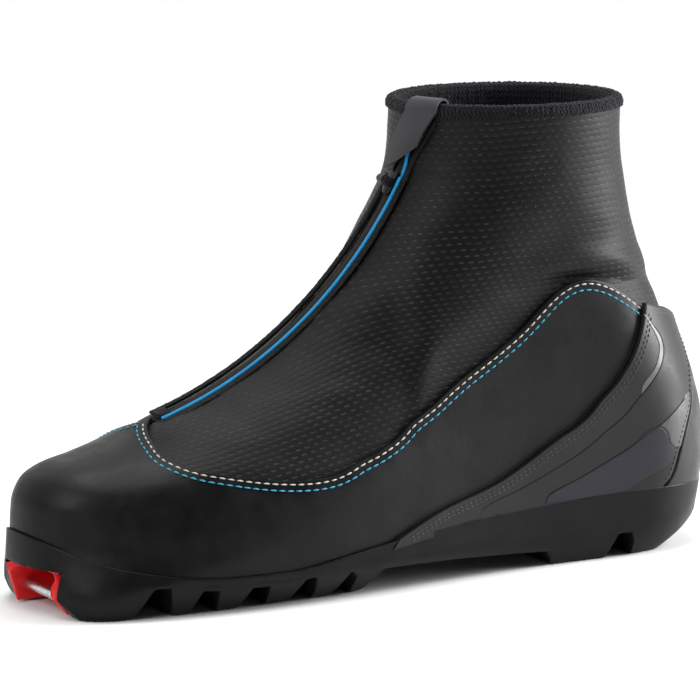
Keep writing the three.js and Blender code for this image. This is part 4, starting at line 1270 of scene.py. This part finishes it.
def ribbon():
    """Flat webbing pull: from the slider up and over the rim, leaning to the lateral side."""
    cols, rows, over, inside = 36, 50, 16, 6
    k = np.linspace(0, 1, cols)
    low_z = 148.6 + 9.6 * k ** 1.5
    high_z = 171.0
    total = rows + over + inside
    t = np.zeros((total, cols))
    z = np.zeros((total, cols))
    lift = np.zeros((total, cols))
    ring = np.linspace(-1.1, 1.35, 160)
    for i in range(rows):
        f = i / (rows - 1)
        z[i] = low_z + (high_z - low_z) * f
        wanted = -3.0 - 0.46 * (z[i] - 150) + 6.4 * (1 - 2 * k)
        for j in range(cols):
            y = form(ring, np.full_like(ring, z[i, j]))[:, 1]
            t[i, j] = np.interp(wanted[j], y[::-1], ring[::-1])
        lift[i] = 3.0 + 1.3 * math.sin(math.pi * f) + 0.9 * k * (1 - f)
    t[rows:] = t[rows - 1]
    for i in range(over):
        b = (i + 1) / over * math.pi * 0.92
        z[rows + i] = high_z + 4.4 * math.sin(b)
        lift[rows + i] = lift[rows - 1] - (lift[rows - 1] + 7.0) * (1 - math.cos(b)) / 2
    for i in range(inside):
        z[rows + over + i] = z[rows + over - 1] - 0.8 * (i + 1)
        lift[rows + over + i] = lift[rows + over - 1]
    normal = form_normal(t, np.minimum(z, 172))
    base = form(t, np.minimum(z, 172)) + normal * lift[..., None]
    base[..., 2] = z
    thick = 0.9
    du = np.gradient(base, axis=1)
    dv = np.gradient(base, axis=0)
    face = np.cross(du, dv)
    face /= np.linalg.norm(face, axis=-1, keepdims=True)
    if (face[0, 0] * normal[0, 0]).sum() < 0:
        face = -face
    n = total * cols
    verts = np.concatenate([(base + face * thick / 2).reshape(-1, 3), (base - face * thick / 2).reshape(-1, 3)])
    faces = grid_faces(total, cols) + grid_faces(total, cols, n, flip=True)
    border = [c for c in range(cols)] + [q * cols + cols - 1 for q in range(1, total)]
    border += [(total - 1) * cols + c for c in range(cols - 2, -1, -1)] + [q * cols for q in range(total - 2, 0, -1)]
    for a, b in zip(border, border[1:] + border[:1]):
        faces.append((b, a, a + n, b + n))
    run = np.concatenate([np.zeros((total, 1)), np.cumsum(np.linalg.norm(np.diff(base, axis=1), axis=2), axis=1)], 1)
    up = np.concatenate([np.zeros((1, cols)), np.cumsum(np.linalg.norm(np.diff(base, axis=0), axis=2), axis=0)], 0)
    pair = np.stack([run, up], -1).reshape(-1, 2) / 10
    piece = make("pull_ribbon", verts, faces, ribbon_paint.mat, "pull", np.concatenate([pair, pair]))
    weld(piece)
    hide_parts("pull_tab")
    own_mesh(piece)
    eye = np.array([zip_point(SLIDER_HOME, q, 4.6) for q in np.linspace(-1.6, 1.6, 8)])
    ring = [(1.9 * math.cos(b), 1.9 * math.sin(b)) for b in np.linspace(0, 2 * math.pi, 20, endpoint=False)]
    loop = sweep("pull_eye", eye, np.repeat([[1.0, 0, 0]], 8, 0), ring, ribbon_paint.mat, "pull")


ribbon()


# ------------------------------------------------------------------ sole
NEAR_SLOPE = [(-130.7, -2), (-132.5, 0), (-139, 7.3), (-142.3, 16), (-145, 20)]
FAR_SLOPE = [(-138.1, -2), (-139.2, 1.6), (-143.4, 15.4), (-145, 20)]
LUGS = [(-101.5, -94.5), (-84, -75.5), (-64, -55), (-45, -36.5), (-29, -23)]
NOTCHES = [11.6, 11.4, 10.8, 10, 10.2]


def bottom_outline():
    p = [(-149, 20), (-136, 0), (-115.5, 0), (-110, NOTCHES[0])]
    for i, (a, b) in enumerate(LUGS):
        p += [(a - 2.4, NOTCHES[i]), (a, 0), (b, 0)]
        if i + 1 < len(LUGS):
            p.append((b + 3.4, NOTCHES[i + 1]))
    p += [(-18.5, 9.4), (10, 8.6), (57, 5.8), (60, 0), (84.5, 0), (87.5, 9.6), (94, 9.6), (95.8, 0)]
    p += [(109.5, 0), (125, 8.5), (141, 17), (147, 18)]
    return p


def round_corners(points, radius):
    """Polyline with each corner replaced by a short quadratic curve."""
    out = [points[0]]
    for a, b, c in zip(points, points[1:], points[2:]):
        a, b, c = np.array(a, float), np.array(b, float), np.array(c, float)
        la, lc = np.linalg.norm(a - b), np.linalg.norm(c - b)
        pa = b + (a - b) * min(radius / la, 0.45)
        pc = b + (c - b) * min(radius / lc, 0.45)
        for f in np.linspace(0, 1, 5):
            out.append(tuple((1 - f) ** 2 * pa + 2 * f * (1 - f) * b + f * f * pc))
    out.append(points[-1])
    return np.array(out, float)


under_line = round_corners(bottom_outline(), 1.1)


def ground_at(x):
    z = np.interp(x, under_line[:, 0], under_line[:, 1])
    saw = 0.4 * np.abs(np.mod(x / 2.0, 1.0) - 0.5) * 2
    return z + saw * (z < 0.35)


wall_lean = curve([
    (-143, 2.2), (-116, 6), (-100, 7.1), (-80, 9.4), (-60, 11), (-26, 11.4), (10, 8.8), (60, 5.2),
    (86, 4.5), (108, 6.5), (143, 6),
])


sole_reach = curve([(-143, 3), (-60, 3.1), (-15, 3.8), (20, SOLE_OUT), (143, SOLE_OUT)])


def sole_inset(z, x):
    return sole_reach(x) - wall_lean(x) * (1 - np.clip(z / 13, 0, 1)) ** 1.4


def outsole():
    """Rubber sole: wall, lugs with cut notches, rolled rim and the cup that holds the upper."""
    xs = set(np.round(np.linspace(-140, 140, 150), 3))
    xs |= set(np.round(under_line[:, 0], 3))
    for a, b in [(-136, -115.5), *LUGS, (60, 84.5), (95.8, 108)]:
        xs |= set(np.round(np.arange(a, b, 0.5), 3))
    xs = np.array(sorted(x for x in xs if -139 < x < 138.5))
    keep = np.concatenate([[True], np.diff(xs) > 0.12])
    xs = xs[keep]
    a, b = float(front_at(10)), float(back_at(10))
    t = np.arccos(np.clip(1 - 2 * (xs - a) / (b - a), -1, 1))
    head = np.linspace(0, t[0], 14)[:-1]
    tail = np.linspace(t[-1], math.pi, 14)[1:]
    half = np.concatenate([head, t, tail])
    ring = np.concatenate([half, 2 * math.pi - half[-2:0:-1]])
    x0 = ring_x(ring, 10.0)
    spine_x = np.clip(x0, -122, 122)
    spine = np.stack([spine_x, toe_swing(spine_x)], 1)
    rows = []

    def wall_point(z, d):
        p = skin(ring, z, d)
        return np.stack([p[:, 0], p[:, 1]], 1)

    top = feather_at(x0)
    foot = ground_at(wall_point(np.full(len(ring), 8.0), np.full(len(ring), 3.5))[:, 0])
    foot = np.minimum(foot, top - 1.2)
    foot_edge = wall_point(foot, sole_inset(foot, x0))
    foot = np.minimum(ground_at(foot_edge[:, 0]), top - 1.2)
    foot_edge = wall_point(foot, sole_inset(foot, x0))
    inner = spine - foot_edge
    reach = np.linalg.norm(inner, axis=1)[:, None]
    for share in (1.0, 0.75, 0.5, 0.25, 0.1):
        q = foot_edge + inner * share
        rows.append(np.stack([q[:, 0], q[:, 1], np.minimum(ground_at(q[:, 0]), top - 1.2)], 1))
    q = foot_edge + inner / reach * 0.7
    rows.append(np.stack([q[:, 0], q[:, 1], foot], 1))
    q = foot_edge + inner / reach * 0.2
    rows.append(np.stack([q[:, 0], q[:, 1], foot + 0.12], 1))
    for k in (0.0, 0.08, 0.2, 0.35, 0.5, 0.65, 0.8, 0.9):
        z = foot + 0.55 + (top - 1.0 - foot - 0.55) * k
        q = wall_point(z, sole_inset(z, x0))
        rows.append(np.stack([q[:, 0], q[:, 1], z], 1))
    reach_out = sole_reach(x0)
    for dz, share in ((-1.0, 1.0), (-0.5, 1.0), (-0.18, 0.92), (0.0, 0.75), (0.0, 0.5), (-0.15, 0.3), (-0.9, 0.03),
                      (-2.5, 0.0)):
        z = top + dz
        q = wall_point(z, SOLE_CUP + (reach_out - SOLE_CUP) * share)
        rows.append(np.stack([q[:, 0], q[:, 1], z], 1))
    seat = np.minimum(seat_at(x0), top - 3.0)
    q = wall_point(seat, np.full(len(ring), 2.2))
    rows.append(np.stack([q[:, 0], q[:, 1], seat], 1))
    cup = spine - q
    for share in (0.3, 0.6, 1.0):
        w = q + cup * share
        rows.append(np.stack([w[:, 0], w[:, 1], np.minimum(seat_at(w[:, 0]), np.minimum(top - 3.0, 1e3))], 1))
    v = np.concatenate(rows)
    faces = grid_faces(len(rows), len(ring), 0, True, True)
    piece = make("outsole_rubber", v, faces, rubber.mat, "boot")
    weld(piece)
    cut = []
    for name, y_0, y_1, side_view in (
        ("pocket", POCKET_Y - 16.0, POCKET_Y + 16.0, [(-165, -5), (-119, -5), (-119, 16.5), (-165, 16.5)]),
        ("groove_m", 8.5, 16.5, [(-114, -5), (120, -5), (120, 3), (-114, 3)]),
        ("groove_l", -16.5, -8.5, [(-114, -5), (120, -5), (120, 3), (-114, 3)]),
        ("slope_near", -60, POCKET_Y, [(-165, -2), *NEAR_SLOPE, (-165, 20)]),
        ("slope_far", POCKET_Y, 60, [(-165, -2), *FAR_SLOPE, (-165, 20)]),
    ):
        m = len(side_view)
        corners = [(x, y, z) for y in (y_0, y_1) for x, z in side_view]
        me = bpy.data.meshes.new(name)
        walls = [(i, i + m, (i + 1) % m + m, (i + 1) % m) for i in range(m)]
        me.from_pydata([tuple(c * MM for c in q) for q in corners], [],
                       [tuple(range(m)), tuple(range(2 * m - 1, m - 1, -1)), *walls])
        ob = bpy.data.objects.new(name, me)
        bpy.context.scene.collection.objects.link(ob)
        cut.append(ob)
        mod = piece.modifiers.new(name, "BOOLEAN")
        mod.operation = "DIFFERENCE"
        mod.solver = "EXACT"
        mod.object = ob
    bpy.context.view_layer.update()
    dg = bpy.context.evaluated_depsgraph_get()
    done = bpy.data.meshes.new_from_object(piece.evaluated_get(dg))
    piece.modifiers.clear()
    piece.data = done
    for ob in cut:
        bpy.data.objects.remove(ob)
    piece.data.polygons.foreach_set("use_smooth", [True] * len(piece.data.polygons))
    piece.data.set_sharp_from_angle(angle=math.radians(38))
    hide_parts("outsole")


outsole()


# ------------------------------------------------------------------ toe insert and bar
def toe_insert():
    """Red liner of the toe pocket: two cheeks and a roof, their front edges following the toe."""
    cy = POCKET_Y
    back = -119.5

    def front(y, z):
        t = np.linspace(-1.2, 1.2, 481)
        p = skin(t, np.full_like(t, max(z, 0.5)), np.full_like(t, float(sole_inset(z, -140)) + 0.7))
        x = float(np.interp(-y, -p[:, 1], p[:, 0]))
        slope = NEAR_SLOPE if y < cy else FAR_SLOPE
        slant = float(np.interp(z, [q[1] for q in slope], [q[0] for q in slope])) - 0.5
        roof = 6.5 * float(ease(14.2, 11.5, abs(y - cy))) * float(ease(12, 14, z))
        return max(x, slant) + roof

    outer = 15.7
    inner = 14.0
    outline = [(-outer, 1.2), (-outer, 13.2), (-outer + 0.9, 15.4), (-outer + 3, 16.2), (outer - 3, 16.2),
               (outer - 0.9, 15.4), (outer, 13.2), (outer, 1.2), (outer - 0.5, 0.8), (inner + 0.4, 0.8), (inner, 1.3),
               (inner, 11.6), (inner - 0.8, 13.7), (inner - 2.8, 14.5), (-inner + 2.8, 14.5), (-inner + 0.8, 13.7),
               (-inner, 11.6), (-inner, 1.3), (-inner - 0.4, 0.8), (-outer + 0.5, 0.8)]
    dense = []
    for p, q in zip(outline, outline[1:] + outline[:1]):
        n = max(1, int(math.hypot(q[0] - p[0], q[1] - p[1]) / 1.4))
        dense += [(p[0] + (q[0] - p[0]) * i / n, p[1] + (q[1] - p[1]) * i / n) for i in range(n)]
    m = len(dense)
    mid = np.array([((abs(y) + 0.0), z) for y, z in dense])
    verts = []
    stations = 22
    for i in range(stations):
        f = i / (stations - 1)
        ring = []
        for (y, z), (ay, _) in zip(dense, mid):
            x = front(cy + y, z)
            core_y = np.sign(y) * min(abs(y), 100)
            lip = 0.35 if i == 0 else (0.1 if i == 1 else 0.0)
            shift = 0.28 if (ay > 15.2 or z > 15.3) else (-0.28 if (ay < 14.3 and z < 14.6) else 0)
            yy = core_y - np.sign(y) * shift * lip * 2
            zz = z - (0.28 * lip * 2 if z > 15.3 else 0)
            ring.append((x + (back - x) * (0.0 if i == 0 else 0.012 if i == 1 else (f ** 1.3)), cy + yy, zz))
        verts += ring
    faces = []
    for i in range(stations - 1):
        for j in range(m):
            a, b = i * m + j, i * m + (j + 1) % m
            faces.append((a, a + m, b + m, b))
    faces.append(tuple(range(m)))
    faces.append(tuple((stations - 1) * m + j for j in range(m))[::-1])
    piece = make("toe_insert_liner", np.array(verts), faces, red.mat, "boot", sharp=35)
    weld(piece)
    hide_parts("toe_insert")
    roof = []
    for x, z in ((-143.5, 14.3), (back - 0.2, 14.3), (back - 0.2, 1.5)):
        for y in (-13.8, 13.8):
            roof.append((x, cy + y, z))
    back_plate = [(back - 0.4, cy - 13.9, 0.9), (back - 0.4, cy + 13.9, 0.9), (back - 0.4, cy + 13.9, 14.4),
                  (back - 0.4, cy - 13.9, 14.4), (back + 0.8, cy - 13.9, 0.9), (back + 0.8, cy + 13.9, 0.9),
                  (back + 0.8, cy + 13.9, 14.4), (back + 0.8, cy - 13.9, 14.4)]
    f = [(0, 1, 2, 3), (7, 6, 5, 4), (0, 4, 5, 1), (2, 6, 7, 3), (1, 5, 6, 2), (0, 3, 7, 4)]
    plate = make("toe_pocket_back", np.array(back_plate), f, red.mat, "boot")


toe_insert()


def toe_bar():
    cy = POCKET_Y
    half = 17.4
    y = np.array([-half, -half + 0.15, -half + 0.5, *np.linspace(-half + 1.2, half - 1.2, 30), half - 0.5, half - 0.15, half])
    r = np.array([1.5, 1.82, 2.0, *np.full(30, 2.0), 2.0, 1.82, 1.5])
    path = np.stack([np.full(len(y), BAR_X), cy + y, np.full(len(y), BAR_Z)], 1)
    sec = circle(1.0, 40)[None] * r[:, None, None]
    bar = sweep("toe_bar_steel", path, np.repeat([[1.0, 0, 0]], len(y), 0), sec, bar_steel, "boot")
    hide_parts("toe_bar")


toe_bar()

# ------------------------------------------------------------------ hidden parts keep their CAD shape
board_paint = grainy("board_fibre", (0.12, 0.1, 0.075), (0.17, 0.145, 0.11), 0.8, 0.5, 0.05)
felt_paint = grainy("reinforcement_sheet", (0.03, 0.03, 0.031), (0.05, 0.05, 0.052), 0.8, 0.6, 0.05)
shank_paint = steel_paint("shank_steel", (0.45, 0.46, 0.47), 0.35, (1, 1, 5))
for node, paint in (("insole_board", board_paint.mat), ("toe_puff", felt_paint.mat),
                    ("heel_stiffener", felt_paint.mat), ("shank", shank_paint)):
    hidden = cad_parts[node]
    hidden.data.materials.clear()
    hidden.data.materials.append(paint)


# ------------------------------------------------------------------ stage, light and camera
TURN, RISE = math.radians(-29.4), math.radians(9.9)
SEEN_FROM = Vector((math.sin(TURN) * math.cos(RISE), -math.cos(TURN) * math.cos(RISE), math.sin(RISE)))


def stage():
    floor_paint = Paint("floor", (0.86, 0.86, 0.86), 0.75, 0, 0.2)
    cloud = floor_paint.noise(400, 2)
    floor_paint.colour(floor_paint.colours(cloud, (0.85, 0.85, 0.85), (0.88, 0.88, 0.88)))
    me = bpy.data.meshes.new("floor")
    rim = [(0.85 * math.cos(a), 0.85 * math.sin(a), 0) for a in np.linspace(0, 2 * math.pi, 96, endpoint=False)]
    me.from_pydata(rim, [], [tuple(range(96))])
    me.materials.append(floor_paint.mat)
    floor = bpy.data.objects.new("floor", me)
    bpy.context.scene.collection.objects.link(floor)
    world = bpy.data.worlds.new("studio")
    world.use_nodes = True
    tree = world.node_tree
    coords = tree.nodes.new("ShaderNodeTexCoord")
    facing = tree.nodes.new("ShaderNodeVectorMath")
    facing.operation = "DOT_PRODUCT"
    facing.inputs[1].default_value = tuple(SEEN_FROM)
    shade = tree.nodes.new("ShaderNodeMapRange")
    shade.interpolation_type = "SMOOTHSTEP"
    for k, value in enumerate((-0.35, 0.55, 1.0, 0.07), start=1):
        shade.inputs[k].default_value = value
    tree.links.new(coords.outputs["Generated"], facing.inputs[0])
    tree.links.new(facing.outputs["Value"], shade.inputs[0])
    seen = tree.nodes.new("ShaderNodeLightPath")
    strength = tree.nodes.new("ShaderNodeMath")
    strength.operation = "MAXIMUM"
    tree.links.new(shade.outputs[0], strength.inputs[0])
    tree.links.new(seen.outputs["Is Camera Ray"], strength.inputs[1])
    tree.links.new(strength.outputs[0], tree.nodes["Background"].inputs["Strength"])
    tree.nodes["Background"].inputs["Color"].default_value = (1, 1, 1, 1)
    bpy.context.scene.world = world
    bpy.context.scene.view_settings.view_transform = "Standard"


def area(name, place, size, power, target=(0, 0, 0.08)):
    data = bpy.data.lights.new(name, "AREA")
    data.shape = "RECTANGLE"
    data.size, data.size_y = size
    data.energy = power
    ob = bpy.data.objects.new(name, data)
    bpy.context.scene.collection.objects.link(ob)
    ob.location = place
    ob.rotation_euler = (Vector(target) - Vector(place)).to_track_quat("-Z", "Y").to_euler()


stage()
area("key_left", (-1.1, -0.35, 0.75), (0.6, 0.9), 8)
area("rim_right", (0.95, -0.3, 0.45), (0.3, 0.9), 20)
area("top", (-0.1, 0.1, 1.6), (1.4, 1.0), 16)

camera_data = bpy.data.cameras.new("photo_camera")
camera_data.lens = 213.1
camera_data.sensor_width = 36
camera_data.clip_end = 20
camera = bpy.data.objects.new("photo_camera", camera_data)
bpy.context.scene.collection.objects.link(camera)
camera.location = Vector((-6.47, 0, 81.96)) * MM + SEEN_FROM * 1.536
camera.rotation_euler = SEEN_FROM.to_track_quat("Z", "Y").to_euler()
bpy.context.scene.camera = camera
